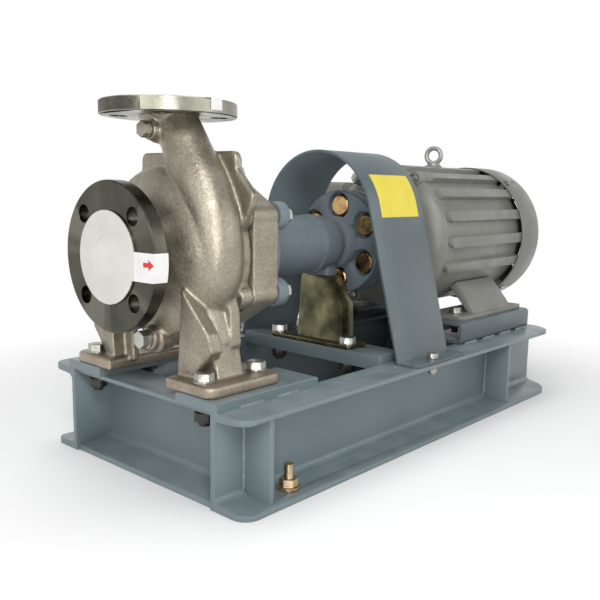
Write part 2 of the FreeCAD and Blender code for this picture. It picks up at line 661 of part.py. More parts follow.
# Support foot under the bearing housing
def support_foot():
    """Pressed foot: base flange, front wider towards the near side, sides turned back, tab under the lug."""
    t = 5.0
    z0 = pad_top
    z1 = lug_z
    front = bar_front_x + 14
    base = box(bar_front_x, bar_front_x + 42, -71, 71, z0, z0 + t)
    base = rounded_corners(base, V(0, 0, 1), 8.0)
    outline = [(-49, z0 + 1), (31, z0 + 1), (28, z0 + 45), (26, z1 - 12), (24, z1), (-24, z1), (-31, z1 - 10),
               (-46, z1 - 36)]
    outer = plate_yz(outline, front, front + 24)
    core = [(y * 0.985 - math.copysign(t, y), z if z < z1 - 1 else z - t) for y, z in outline]
    core[0] = (core[0][0], z0 - 1)
    core[1] = (core[1][0], z0 - 1)
    inside = plate_yz(core, front + t, front + 30)
    foot = fuse(base, outer.cut(inside))
    return cut(foot, *[rod_z(pump_bolt_r + slack, z0 - 1, z0 + t + 1, support_bolt_x, s * support_bolt_y)
                       for s in (-1, 1)])


foot = support_foot()
foot = cut(foot, rod_z(4.0 + slack, lug_z - 6, lug_z + 1, support_screw_x, 0))
save("support_foot", foot)
save("support_bolts", Part.makeCompound(
    [bolt_down(support_bolt_x, s * support_bolt_y, pad_top + 5, pad_top - bar_thickness, pump_bolt_r,
               18, 7.5, 10) for s in (-1, 1)]
    + [fuse(rod_z(4.0, lug_z - 5, lug_z + 5, support_screw_x, 0),
            hexagon(13.0, V(support_screw_x, 0, lug_z - 10.5), 5.5, "z"))]))
save("pump_foot_bolts", Part.makeCompound(
    [bolt_down(foot_bolt_x[0], s * pump_bolt_y, foot_top, base_height - flange_root, pump_bolt_r, 18, 7.5, 10)
     for s in (-1, 1)]
    + [bolt_down(foot_bolt_x[1], s * pump_bolt_y, foot_top, base_height, pump_bolt_r, 18, 7.5, 10)
       for s in (-1, 1)]))

# Flange coupling: bushes in the pump half, bolts fixed in the motor half
pin_angles = [90 + 60 * k for k in range(6)]
bush_x0 = coupling_face_x + 9.4


def coupling_half(x_flange, hub_x):
    """Flanged half: disc with bevelled rims and a hub that runs to hub_x."""
    t = coupling_flange_t
    rim = turned([(x_flange, 0), (x_flange, coupling_r - 1.5), (x_flange + 1.5, coupling_r),
                  (x_flange + t - 1.5, coupling_r), (x_flange + t, coupling_r - 1.5), (x_flange + t, 0)])
    middle = x_flange + t / 2
    return fuse(rim, rod_x(coupling_hub_r, min(middle, hub_x), max(middle, hub_x)))


half_a = coupling_half(coupling_face_x, coupling_hub_x)
half_a = cut(half_a, rod_x(shaft_end_r, coupling_hub_x - 1, motor_half_x), pump_key,
             *[rod_x(bush_hole_r, coupling_face_x - 1, motor_half_x, *on_circle(bolt_circle_r, a))
               for a in pin_angles],
             *[rod_x(recess_r, coupling_face_x - 1, bush_x0, *on_circle(bolt_circle_r, a))
               for a in pin_angles])
save("coupling_pump_half", half_a)
save("pump_key", pump_key)
half_b = coupling_half(motor_half_x, motor_half_x + motor_hub_length)
motor_shaft_x = motor_face_x - motor_shaft_reach
motor_key = box(motor_shaft_x + 2, motor_half_x + motor_hub_length - 1, -key_w / 2, key_w / 2,
                shaft_z + motor_shaft_r - 4, shaft_z + motor_shaft_r + 3)
half_b = cut(half_b, rod_x(motor_shaft_r, motor_half_x - 1, motor_face_x), motor_key,
             *[rod_x(pin_r, motor_half_x - 1, motor_half_x + 30, *on_circle(bolt_circle_r, a))
               for a in pin_angles])
save("coupling_motor_half", half_b)
save("motor_key", motor_key)
save("coupling_bushes", Part.makeCompound(
    [rod_x(bush_r, bush_x0, coupling_face_x + coupling_flange_t - 0.3, *on_circle(bolt_circle_r, a)).cut(
        rod_x(pin_r + pin_clearance, bush_x0 - 1, motor_half_x, *on_circle(bolt_circle_r, a)))
     for a in pin_angles]))


def coupling_bolt(a):
    y, z = on_circle(bolt_circle_r, a)
    back = bush_x0 - 0.3
    head = turned([(back, 0), (back, pin_head_r), (back - 5, pin_head_r), (back - 6.5, pin_head_r - 1.5),
                   (back - 6.5, 0)]).translated(V(0, y, z - shaft_z))
    end = motor_half_x + coupling_flange_t
    return fuse(head, rod_x(pin_r, bush_x0 - 1, end + 16, y, z), hexagon(24.0, V(end, y, z), 12.0, "x", a))


save("coupling_bolts", Part.makeCompound([coupling_bolt(a) for a in pin_angles]))


# Coupling guard
def guard_tangent():
    d = math.hypot(guard_foot_y, guard_z - base_height)
    return math.atan2(base_height - guard_z, guard_foot_y) + math.acos(guard_r / d)


def guard():
    """Bent strap: round crown, legs spreading to the side channels, feet turned outwards."""
    a = guard_tangent()
    inner_r = guard_r - guard_t
    span = Part.makeCylinder(guard_r, guard_x1 - guard_x0, V(guard_x0, 0, guard_z), V(1, 0, 0))
    hollow = Part.makeCylinder(inner_r, guard_x1 - guard_x0, V(guard_x0, 0, guard_z), V(1, 0, 0))
    n = (math.cos(a), math.sin(a))
    t_out = (guard_r * n[0], guard_z + guard_r * n[1])
    t_in = (inner_r * n[0], guard_z + inner_r * n[1])
    foot = (guard_foot_y, base_height)
    foot_in = (guard_foot_y - guard_t * n[0], base_height - guard_t * n[1])
    slope = ((foot[0] - t_out[0]) / (foot[1] - t_out[1]))
    foot_in = (foot_in[0] + (base_height - foot_in[1]) * slope, base_height)
    leg = plate_yz([(-p[0], p[1]) for p in (t_out, foot, foot_in, t_in)], guard_x0, guard_x1)
    wedge = [(0, guard_z), (-3 * t_out[0], guard_z + 3 * (t_out[1] - guard_z)), (-300, 500), (300, 500),
             (3 * t_out[0], guard_z + 3 * (t_out[1] - guard_z))]
    crown = span.cut(hollow).common(plate_yz(wedge, guard_x0, guard_x1))
    turned_out = box(guard_x0, guard_x1, -guard_foot_out, -guard_foot_y + 1.5,
                     base_height, base_height + guard_t)
    turned_out = rounded_corners(turned_out, V(0, 0, 1), 6.0, lambda e: e.CenterOfMass.y < -160)
    out = fuse(crown, leg, mirrored(leg), turned_out, mirrored(turned_out))
    return cut(out, *[rod_z(guard_bolt_r + slack, base_height - 1, base_height + guard_t + 1, guard_bolt_x,
                            s * guard_bolt_y) for s in (-1, 1)])


save("coupling_guard", guard())
save("guard_bolts", Part.makeCompound(
    [bolt_down(guard_bolt_x, s * guard_bolt_y, base_height + guard_t, base_height - flange_root, guard_bolt_r,
               13, 5.3, 6.5, 3, 1.6) for s in (-1, 1)]))
label_top = math.radians(41.0)
label_flat = 17.0
label_x = (guard_x0 + 21, guard_x1 - 12.5)
label_t = 0.3
bend = guard_tangent()
label = rod_x(guard_r + label_t, label_x[0], label_x[1], 0, guard_z)
label = label.cut(rod_x(guard_r, label_x[0] - 1, label_x[1] + 1, 0, guard_z))
sector = [(0, guard_z)] + [(-200 * math.cos(t), guard_z + 200 * math.sin(t))
                           for t in (bend, (bend + label_top) / 2, label_top)]
label = label.common(plate_yz(sector, label_x[0], label_x[1]))
n = V(0, -math.cos(bend), math.sin(bend))
down = V(0, -math.sin(bend), -math.cos(bend))
start = V(label_x[0], 0, guard_z) + n * guard_r
flat = polygon([start, start + down * label_flat, start + down * label_flat + n * label_t, start + n * label_t])
save("guard_label", label.fuse(flat.extrude(V(label_x[1] - label_x[0], 0, 0))))

# Motor: bracket, ribbed frame, feet, rotor and rear bracket
bracket = turned([(motor_face_x + 3, 0), (motor_face_x + 3, 36), (motor_face_x + 7, 40),
                  (motor_face_x + 9, frame_r - 27), (motor_face_x + 12, frame_r - 15),
                  (motor_face_x + 18, frame_r - 5), (motor_face_x + 24, frame_r + 1), (frame_x0, frame_r + 2),
                  (frame_x0, 0)])
lug_angles = (60, 120, 240, 300)
lug_r = frame_r + 1
lug_x = frame_x0 - 16
frame_lug_x = frame_x0 + 18
lugs = [rod_x(10.0, lug_x, frame_x0, *on_circle(lug_r, a)) for a in lug_angles]
hollow = turned([(motor_face_x + 17, 0), (motor_face_x + 17, frame_bore_r - 8), (frame_x0 - 6, frame_bore_r - 2),
                 (frame_x0 + 1, frame_bore_r - 2), (frame_x0 + 1, 0)])
seat = turned([(motor_face_x + 10, 0), (motor_face_x + 10, 36.5), (frame_x0, 36.5), (frame_x0, 0)])
motor_bearing = [(motor_face_x + 9, 15.0), (frame_x1 - 4, 15.0)]
bracket = fuse(bracket, *lugs)
bracket = cut(bracket.cut(hollow.cut(seat)), rod_x(motor_shaft_r + 0.6, motor_face_x, frame_x0),
              rod_x(31.0, motor_bearing[0][0], frame_x0),
              *[rod_x(4.0 + slack, lug_x - 8, frame_x0 + 1, *on_circle(lug_r, a)) for a in lug_angles],
              *[rod_x(9.0, lug_x - 14, lug_x, *on_circle(lug_r, a)) for a in lug_angles])
save("motor_front_bracket", bracket)


def rib(angle):
    """Longitudinal cooling rib: flat top, round front end, set on the frame at an angle from the near side."""
    w = rib_width / 2
    start = frame_x0 + 1.5
    end = fan_cover_x0 + 4
    low = frame_r - 3
    top = frame_r + rib_height
    bar = box(start + w, end, -w, w, low, top)
    nose = Part.makeCylinder(w, top - low, V(start + w, 0, low), V(0, 0, 1))
    out = fuse(bar, nose)
    out.translate(V(0, 0, shaft_z))
    return around_x(out, angle)


pitch = 360.0 / rib_count
frame = rod_x(frame_r, frame_x0, frame_x1).cut(rod_x(frame_bore_r, frame_x0 - 1, frame_x1 + 1))
kept = []
for k in range(rib_count):
    angle = 90 + pitch * k
    down = abs((angle % 360) - 180)
    far_side = abs((angle % 360) - 270)
    if down > 60 and far_side > 12:
        kept.append(rib(angle))
eye_x = motor_face_x + 142.5
eye_boss_top = shaft_z + frame_r + 9.5
eye_boss = rod_z(13.0, shaft_z + frame_r - 11, eye_boss_top, eye_x, 0)
tb_x0, tb_x1 = frame_x0 + 20, frame_x0 + 112
box_face_y = frame_r + 7
box_neck = box(tb_x0 + 8, tb_x1 - 8, frame_bore_r, box_face_y, shaft_z + 6, shaft_z + 72)
frame_lugs = [rod_x(10.0, frame_x0, frame_lug_x, *on_circle(lug_r, a)) for a in lug_angles]
frame = fuse(frame, eye_boss, box_neck, *(kept + frame_lugs))
frame = cut(frame, rod_x(frame_bore_r, frame_x0 - 1, frame_x1 + 1),
            rod_z(5.0, shaft_z + 60, eye_boss_top + 1, eye_x, 0),
            *[rod_x(4.0, frame_x0 - 1, frame_lug_x + 1, *on_circle(lug_r, a)) for a in lug_angles])
save("motor_frame", frame)
save("bracket_bolts", Part.makeCompound(
    [fuse(rod_x(4.0, lug_x - 1, frame_lug_x, *on_circle(lug_r, a)),
          hexagon(13.0, V(lug_x - 5.5, *on_circle(lug_r, a)), 5.5, "x", a))
     for a in lug_angles]))


def motor_foot():
    """Pressed-steel foot: floor plate bent up into a sloping web, with a gusset at its rear end."""
    t = 6.0
    edge = -rail_outer_y + 10
    floor = box(motor_bolt_x[0] - 25, motor_bolt_x[1] + 21, edge, -58, rail_top, rail_top + t)
    floor = rounded_corners(floor, V(0, 0, 1), 10.0, lambda e: e.CenterOfMass.y < -100)
    reach = 0.80 * frame_r
    high = shaft_z - 0.62 * frame_r
    web_x0 = motor_bolt_x[0] + 18
    web_x1 = motor_bolt_x[1] - 13
    web_plate = plate_yz([(edge + 3, rail_top + 2), (edge + 4, rail_top + 8), (-reach - 2, high),
                          (-reach + 8, high - 8),
                          (edge + 13, rail_top + 2)], web_x0, web_x1)
    gusset = plate_yz([(edge + 8, rail_top + 2), (-reach, high - 4), (-66, rail_top + 26), (-60, rail_top + 2)],
                      web_x1 - 8, web_x1 - 2)
    foot = fuse(floor, web_plate, gusset).cut(rod_x(frame_r + 0.3, frame_x0, frame_x1))
    return cut(foot, *[rod_z(motor_bolt_r + slack, rail_top - 1, rail_top + t + 1, x, -motor_bolt_y)
                       for x in motor_bolt_x])


save("motor_feet", both(motor_foot()))
save("motor_foot_bolts", Part.makeCompound(
    [bolt_down(x, s * motor_bolt_y, rail_top + 6, rail_top - rail_t, motor_bolt_r, 16, 6.5, 8, 9)
     for x in motor_bolt_x for s in (-1, 1)]))
core_x0 = frame_x0 + 46
core_x1 = core_x0 + 122
save("motor_stator", turned([(core_x0, 58), (core_x0, frame_bore_r), (core_x1, frame_bore_r), (core_x1, 58)]))
rotor_core = rod_x(57.5, core_x0 + 2, core_x1 - 2).cut(rod_x(18.0, core_x0, core_x1))
save("motor_rotor_core", rotor_core)
rotor_shaft = turned([(motor_shaft_x, 0), (motor_shaft_x, motor_shaft_r), (motor_bearing[0][0], motor_shaft_r),
                      (motor_bearing[0][0], 15), (motor_face_x + 30, 15), (motor_face_x + 30, 18),
                      (frame_x1 - 8, 18), (frame_x1 - 8, 15), (frame_x1 + 13, 15), (frame_x1 + 13, 10),
                      (fan_x1, 10), (fan_x1, 0)])
save("motor_shaft", cut(rotor_shaft, motor_key))
rear_r = frame_r - 4.0
cover_screw_x = frame_x1 + 9
cover_lug_top = fan_cover_r - sheet - 0.3
cover_screw_angles = [a + s * 2.5 * pitch for a in (90, 270) for s in (-1, 1)]
rear_bracket = turned([(frame_x1 - 4, 31), (frame_x1 - 4, 42), (frame_x1, 60), (frame_x1, rear_r),
                       (frame_x1 + 8, rear_r), (frame_x1 + 13, 60), (frame_x1 + 14, 42), (frame_x1 + 14, 15.6),
                       (frame_x1 + 11, 15.6), (frame_x1 + 11, 31)])
cover_lug = box(frame_x1, cover_screw_x + 4.5, -4.5, 4.5, shaft_z + rear_r - 2.5, shaft_z + cover_lug_top)


def radial_screw(angle):
    stem = rod_z(2.5, shaft_z + rear_r + 2, shaft_z + fan_cover_r + 0.2, cover_screw_x, 0)
    head = hexagon(8.0, V(cover_screw_x, 0, shaft_z + fan_cover_r + 0.2), 3.5, "z", 10)
    return around_x(fuse(stem, head), angle)


rear_bracket = fuse(rear_bracket, *[around_x(cover_lug, a) for a in cover_screw_angles])
cover_screws = [radial_screw(a) for a in cover_screw_angles]
save("motor_rear_bracket", cut(rear_bracket, *cover_screws))
save("fan_cover_screws", Part.makeCompound(cover_screws))
save("motor_bearings", Part.makeCompound(
    [bearing(x, 15.0 + running, 31.0, w) for x, w in motor_bearing]))

# Fan and its cover
blades = []
for k in range(8):
    blade = box(fan_x0, fan_x1, -1.2, 1.2, shaft_z + 24, shaft_z + frame_r - 6)
    blades.append(around_x(blade, 45 * k))
fan = fuse(turned([(fan_x0, 10), (fan_x0, 28), (fan_x1, 26), (fan_x1, 10)]),
           rod_x(frame_r - 3, fan_x0, fan_x0 + 2.5).cut(rod_x(20.0, fan_x0 - 1, fan_x1)), *blades)
save("cooling_fan", fan)
round_r = 11.0


def rounded_shell(gap):
    """Outline of the cover, moved inwards by gap; three chords stand for its rounded rim."""
    r = fan_cover_r - gap
    x = fan_cover_x1 - gap
    points = [(fan_cover_x0 - gap, 0), (fan_cover_x0 - gap, r)]
    for k in range(4):
        t = math.radians(30 * k)
        points.append((x - round_r + round_r * math.sin(t), r - round_r + round_r * math.cos(t)))
    return turned(points + [(x, 0)])


shell = rounded_shell(0).cut(rounded_shell(sheet))


def grille_slots():
    """Curved intake slots: rings of slots with four bars left between them."""
    bars = [around_x(box(fan_cover_x1 - 10, fan_cover_x1 + 1, -3, 3, shaft_z - 100, shaft_z + 100), 45 + 90 * k)
            for k in range(2)]
    slots = []
    for k in range(6):
        r = 24.0 + 11.0 * k
        ring = rod_x(r + 5.5, fan_cover_x1 - 4, fan_cover_x1 + 1)
        ring = ring.cut(rod_x(r, fan_cover_x1 - 5, fan_cover_x1 + 2))
        slots.append(ring.cut(bars))
    return slots


screw_holes = [around_x(rod_z(2.8, shaft_z + rear_r, shaft_z + fan_cover_r + 1, cover_screw_x, 0), a)
               for a in cover_screw_angles]
save("fan_cover", cut(shell, *(grille_slots() + screw_holes)))

# Terminal box on the far side of the frame
tb_y0, tb_y1 = box_face_y, box_face_y + 50
tb_z0, tb_z1 = shaft_z - 2, shaft_z + 82
tbox = box(tb_x0, tb_x1, tb_y0, tb_y1, tb_z0, tb_z1)
tbox = rounded_corners(tbox, V(0, 1, 0), 8.0)
tbox = tbox.cut(rounded_corners(box(tb_x0 + 3, tb_x1 - 3, tb_y0 + 3, tb_y1 + 1, tb_z0 + 3, tb_z1 - 3),
                                V(0, 1, 0), 5.0))
lid_holes = [(tb_x0 + 9, tb_z0 + 9), (tb_x1 - 9, tb_z0 + 9), (tb_x0 + 9, tb_z1 - 9), (tb_x1 - 9, tb_z1 - 9)]
pillars = [rod_y(5.0, tb_y0 + 2, tb_y1, x, z) for x, z in lid_holes]
tbox = fuse(tbox, *pillars)
gland_y = (tb_y0 + tb_y1) / 2
gland_z = (tb_z0 + tb_z1) / 2
tbox = cut(tbox, rod_x(12.0, tb_x1 - 4, tb_x1 + 1, gland_y, gland_z),
           *[rod_y(2.5, tb_y1 - 12, tb_y1 + 1, x, z) for x, z in lid_holes])
save("terminal_box", tbox)
lid = box(tb_x0 - 1, tb_x1 + 1, tb_y1, tb_y1 + 7, tb_z0 - 1, tb_z1 + 1)
lid = rounded_corners(lid, V(0, 1, 0), 9.0)
lid = lid.makeFillet(3.0, edges_where(lid, lambda e: abs(e.CenterOfMass.y - tb_y1 - 7) < 0.1))
lid = cut(lid, *[rod_y(2.5 + 0.2, tb_y1 - 1, tb_y1 + 8, x, z) for x, z in lid_holes])
save("terminal_lid", lid)
save("lid_screws", Part.makeCompound(
    [fuse(rod_y(2.5, tb_y1 - 8, tb_y1 + 7, x, z), rod_y(4.5, tb_y1 + 7, tb_y1 + 10, x, z))
     for x, z in lid_holes]))
gland = fuse(rod_x(12.0, tb_x1 - 8, tb_x1 + 1, gland_y, gland_z),
             hexagon(30.0, V(tb_x1, gland_y, gland_z), 8.0, "x"),
             rod_x(13.0, tb_x1 + 7, tb_x1 + 22, gland_y, gland_z))
save("cable_gland", cut(gland, rod_x(7.0, tb_x1 - 9, tb_x1 + 23, gland_y, gland_z)))

# Eye bolt, turned a little on its thread
eye_z = eye_boss_top + 15.5
eye_ring_r = 11.5
eye_bar_r = 3.6
bar_section = []
for k in range(10):
    t = math.radians(36 * k)
    bar_section.append(V(eye_x + eye_bar_r * math.cos(t), 0, eye_z + eye_ring_r + eye_bar_r * math.sin(t)))
loop = polygon(bar_section).revolve(V(eye_x, 0, eye_z), V(1, 0, 0), 360)
eye = fuse(loop, rod_z(5.0, shaft_z + frame_r - 9, eye_z - eye_ring_r, eye_x, 0),
           rod_z(10.0, eye_boss_top, eye_boss_top + 3, eye_x, 0))
eye.rotate(V(eye_x, 0, eye_z), V(0, 0, 1), 15)
save("eye_bolt", eye)

# Protective discs on the flange faces, each held by a strip of tape folded over the rim
cover_t = 1.2
tape_t = 0.3
tape_gap = 0.3


def rim_tape(x0, x1, inner, lip, rim, fold):
    """Tape from the disc over the flange edge, on an axis along Z with the raised face at height 0."""
    edge = rim + tape_gap
    low = tape_gap - raised_face
    strip = plate_yz([(-inner, cover_t), (-inner, cover_t + tape_t), (-lip, cover_t + tape_t),
                      (-edge - tape_t, low + tape_t), (-edge - tape_t, low), (-lip, cover_t)], x0, x1)
    outer = Part.makeCylinder(edge + tape_t, 40, V(0, 0, -20))
    leg = outer.cut(Part.makeCylinder(edge, 40, V(0, 0, -20)))
    leg = leg.common(box(x0, x1, -99, -9, -fold, low + tape_t))
    return fuse(strip.common(outer), leg)


save("suction_cover", turned([(suction_x - cover_t, 22), (suction_x - cover_t, suction_face_r - 0.5),
                              (suction_x, suction_face_r - 0.5), (suction_x, 0), (suction_x - 0.6, 0),
                              (suction_x - 0.6, 22)]))
tape = rim_tape(-19.5, 9.0, 36.0, suction_face_r, suction_flange_r, 17.0)
tape.rotate(V(0, 0, 0), V(0, 1, 0), -90)
tape.translate(V(suction_x, 0, shaft_z))
save("suction_tape", tape)
save("discharge_cover", rod_z(discharge_face_r + 4, discharge_z, discharge_z + cover_t, discharge_x, 0))
tape = rim_tape(-4.0, 11.0, 30.0, discharge_face_r + 4.5, discharge_flange_r, 12.5)
tape.translate(V(discharge_x, 0, discharge_z))
save("discharge_tape", tape)
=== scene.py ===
import bpy
import bmesh
import json
import math
import random
import numpy as np
from mathutils import Matrix, Vector

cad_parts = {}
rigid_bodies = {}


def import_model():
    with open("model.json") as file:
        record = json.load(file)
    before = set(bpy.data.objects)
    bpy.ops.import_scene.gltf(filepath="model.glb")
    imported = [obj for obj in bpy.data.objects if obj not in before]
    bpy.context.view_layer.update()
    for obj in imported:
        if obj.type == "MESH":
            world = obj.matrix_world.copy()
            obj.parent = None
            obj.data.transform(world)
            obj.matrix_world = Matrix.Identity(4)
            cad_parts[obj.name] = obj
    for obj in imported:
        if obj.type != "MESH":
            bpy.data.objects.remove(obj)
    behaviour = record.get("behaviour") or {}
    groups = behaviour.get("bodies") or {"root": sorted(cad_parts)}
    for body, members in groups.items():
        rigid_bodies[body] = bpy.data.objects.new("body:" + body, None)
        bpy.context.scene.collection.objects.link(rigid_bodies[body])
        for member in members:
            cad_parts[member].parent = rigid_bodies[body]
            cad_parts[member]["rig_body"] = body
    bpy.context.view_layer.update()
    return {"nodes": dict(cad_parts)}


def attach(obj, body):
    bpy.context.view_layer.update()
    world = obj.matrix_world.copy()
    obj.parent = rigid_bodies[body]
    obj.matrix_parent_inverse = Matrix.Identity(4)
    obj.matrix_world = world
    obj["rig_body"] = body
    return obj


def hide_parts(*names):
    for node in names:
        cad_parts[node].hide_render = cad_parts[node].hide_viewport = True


# Looks of a horizontal pump set: cast stainless pump, painted bearing housing, coupling, guard, motor and base.
# The shaft runs along +X, -Y is the near side, +Z is up; all sizes are in metres.
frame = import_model()
nodes = frame["nodes"]
SHAFT_Z, DISCHARGE_X = 0.242, -0.303
# Scale and band of the painted reflection fans on turned faces; BRUSHED is their anisotropy.
FAN_SCALE, FAN_BAND, BRUSHED = 1.35, (0.47, 0.64), 0.75


# Node helpers for the materials
def node(tree, kind, **settings):
    """A shader node; settings are its properties, or inputs where the name is an input's."""
    made = tree.nodes.new(kind)
    for key, value in settings.items():
        if hasattr(made, key):
            setattr(made, key, value)
        else:
            made.inputs[key.replace("_", " ").title()].default_value = value
    return made


def place(tree):
    """Object coordinates, which are the set's own metres for every piece that rests at the origin."""
    found = tree.nodes.get("Place")
    if found is None:
        found = tree.nodes.new("ShaderNodeTexCoord")
        found.name = "Place"
    return found.outputs["Object"]


def map_range(tree, value, limits, **settings):
    """A value spread from the first two limits to the last two, or to 0 and 1 where these are left out."""
    made = node(tree, "ShaderNodeMapRange", **settings)
    for name, limit in zip(("From Min", "From Max", "To Min", "To Max"), limits):
        made.inputs[name].default_value = limit
    tree.links.new(value, made.inputs["Value"])
    return made.outputs["Result"]


def noise(tree, scale, low=0.0, high=1.0, detail=3.0, band=(0.35, 0.65)):
    """Noise in object space; its band is spread over low to high."""
    texture = node(tree, "ShaderNodeTexNoise")
    texture.inputs["Scale"].default_value = scale
    texture.inputs["Detail"].default_value = detail
    tree.links.new(place(tree), texture.inputs["Vector"])
    return map_range(tree, texture.outputs["Fac"], (*band, low, high))


def blend_colour(tree, first, second, mask):
    """Mix of two colours, each a tuple or a socket, by a mask socket."""
    mix = node(tree, "ShaderNodeMix", data_type="RGBA")
    for value, socket in ((first, mix.inputs[6]), (second, mix.inputs[7])):
        if isinstance(value, tuple):
            socket.default_value = (*value, 1.0)
        else:
            tree.links.new(value, socket)
    tree.links.new(mask, mix.inputs[0])
    return mix.outputs[2]


def times(tree, first, second):
    """Product of two sockets."""
    made = node(tree, "ShaderNodeMath", operation="MULTIPLY")
    tree.links.new(first, made.inputs[0])
    tree.links.new(second, made.inputs[1])
    return made.outputs[0]


def upward(tree):
    """Mask of faces that look up, where dust lies."""
    geometry = node(tree, "ShaderNodeNewGeometry")
    split = node(tree, "ShaderNodeSeparateXYZ")
    tree.links.new(geometry.outputs["Normal"], split.inputs[0])
    return map_range(tree, split.outputs["Z"], (0.55, 0.95))


def bump(tree, shader, height, depth):
    """Adds a bump of depth to those that the shader has."""
    made = node(tree, "ShaderNodeBump")
    made.inputs["Strength"].default_value = 1.0
    made.inputs["Distance"].default_value = depth
    tree.links.new(height, made.inputs["Height"])
    previous = shader.inputs["Normal"]
    if previous.is_linked:
        tree.links.new(previous.links[0].from_socket, made.inputs["Normal"])
    tree.links.new(made.outputs["Normal"], previous)


def surface(name, colour, second, rough, metal=0.0, patch=18.0, swing=0.08, grain=900.0, depth=0.00003,
            dust=None, coat=0.0):
    """Base material: two mottled colours, uneven gloss, fine grain and, if asked, dust on upward faces."""
    made = bpy.data.materials.new(name)
    made.use_nodes = True
    tree = made.node_tree
    shader = tree.nodes["Principled BSDF"]
    shader.inputs["Metallic"].default_value = metal
    shader.inputs["Coat Weight"].default_value = coat
    shader.inputs["Coat Roughness"].default_value = 0.25
    tint = blend_colour(tree, colour, second, noise(tree, patch, detail=5.0))
    if dust is not None:
        tint = blend_colour(tree, tint, dust, times(tree, upward(tree), noise(tree, 28.0, 0.0, 0.30)))
    tree.links.new(tint, shader.inputs["Base Color"])
    tree.links.new(noise(tree, patch * 2.3, rough - swing, rough + swing), shader.inputs["Roughness"])
    bump(tree, shader, noise(tree, grain, band=(0.0, 1.0)), depth)
    return made


def turned_metal(name, colour, second, rough, centre, axis, grooves=2600.0, sector=None):
    """Machined metal with fine rings about an axis through centre; the last argument, if given, is the tint of
    painted reflection fans about the axis.
    """
    made = surface(name, colour, second, rough, metal=1.0, patch=26.0, swing=0.06, grain=1500.0, depth=0.00001)
    tree = made.node_tree
    shader = tree.nodes["Principled BSDF"]
    offset = node(tree, "ShaderNodeVectorMath", operation="SUBTRACT")
    offset.inputs[1].default_value = centre
    tree.links.new(place(tree), offset.inputs[0])
    flat = node(tree, "ShaderNodeVectorMath", operation="MULTIPLY")
    flat.inputs[1].default_value = tuple(0.0 if k == axis else 1.0 for k in range(3))
    tree.links.new(offset.outputs[0], flat.inputs[0])
    radius = node(tree, "ShaderNodeVectorMath", operation="LENGTH")
    tree.links.new(flat.outputs[0], radius.inputs[0])
    split = node(tree, "ShaderNodeSeparateXYZ")
    tree.links.new(offset.outputs[0], split.inputs[0])
    total = node(tree, "ShaderNodeMath", operation="ADD")
    tree.links.new(radius.outputs["Value"], total.inputs[0])
    tree.links.new(split.outputs[axis], total.inputs[1])
    rings = node(tree, "ShaderNodeTexNoise", noise_dimensions="1D")
    rings.inputs["Scale"].default_value = grooves
    rings.inputs["Detail"].default_value = 2.0
    tree.links.new(total.outputs[0], rings.inputs["W"])
    bump(tree, shader, rings.outputs["Fac"], 0.00002)
    round_it = node(tree, "ShaderNodeVectorMath", operation="CROSS_PRODUCT")
    round_it.inputs[1].default_value = tuple(1.0 if k == axis else 0.0 for k in range(3))
    tree.links.new(flat.outputs[0], round_it.inputs[0])
    tree.links.new(round_it.outputs[0], shader.inputs["Tangent"])
    shader.inputs["Anisotropic"].default_value = BRUSHED
    # Painted reflection: fans of another tint about the axis stand in for the light and dark streaks of a turned
    # face.
    if sector is not None:
        fan = node(tree, "ShaderNodeVectorMath", operation="NORMALIZE")
        tree.links.new(flat.outputs[0], fan.inputs[0])
        waves = node(tree, "ShaderNodeTexNoise")
        waves.inputs["Scale"].default_value = FAN_SCALE
        waves.inputs["Detail"].default_value = 2.5
        tree.links.new(fan.outputs[0], waves.inputs["Vector"])
        mask = map_range(tree, waves.outputs["Fac"], FAN_BAND, interpolation_type="SMOOTHSTEP")
        base = shader.inputs["Base Color"].links[0].from_socket
        tree.links.new(blend_colour(tree, base, sector, mask), shader.inputs["Base Color"])
    return made


def cast_metal(name, colour, second, rough):
    """Sand-cast and pickled steel: a taupe mottle in two sizes and an orange-peel skin."""
    made = surface(name, colour, second, rough, metal=0.80, patch=26.0, swing=0.09, grain=1100.0, depth=0.00022)
    tree = made.node_tree
    shader = tree.nodes["Principled BSDF"]
    fine = blend_colour(tree, (0.60, 0.55, 0.50), (1.22, 1.18, 1.12), noise(tree, 420.0, band=(0.30, 0.70)))
    product = node(tree, "ShaderNodeMix", data_type="RGBA", blend_type="MULTIPLY")
    product.inputs[0].default_value = 0.55
    tree.links.new(shader.inputs["Base Color"].links[0].from_socket, product.inputs[6])
    tree.links.new(fine, product.inputs[7])
    tree.links.new(product.outputs[2], shader.inputs["Base Color"])
    bump(tree, shader, noise(tree, 260.0, band=(0.0, 1.0), detail=2.0), 0.00030)
    return made


# Materials: two colours and a roughness each
base_paint = surface("base_paint", (0.132, 0.172, 0.184), (0.156, 0.200, 0.212), 0.40, patch=7.0, grain=420.0,
                     depth=0.00006, dust=(0.30, 0.33, 0.34), coat=0.15)
# Guard and motor rails: the base paint made darker, a painted shade.
guard_paint = surface("guard_paint", (0.078, 0.103, 0.112), (0.095, 0.124, 0.134), 0.42, patch=6.0, grain=420.0,
                      depth=0.00005, dust=(0.20, 0.22, 0.23), coat=0.10)
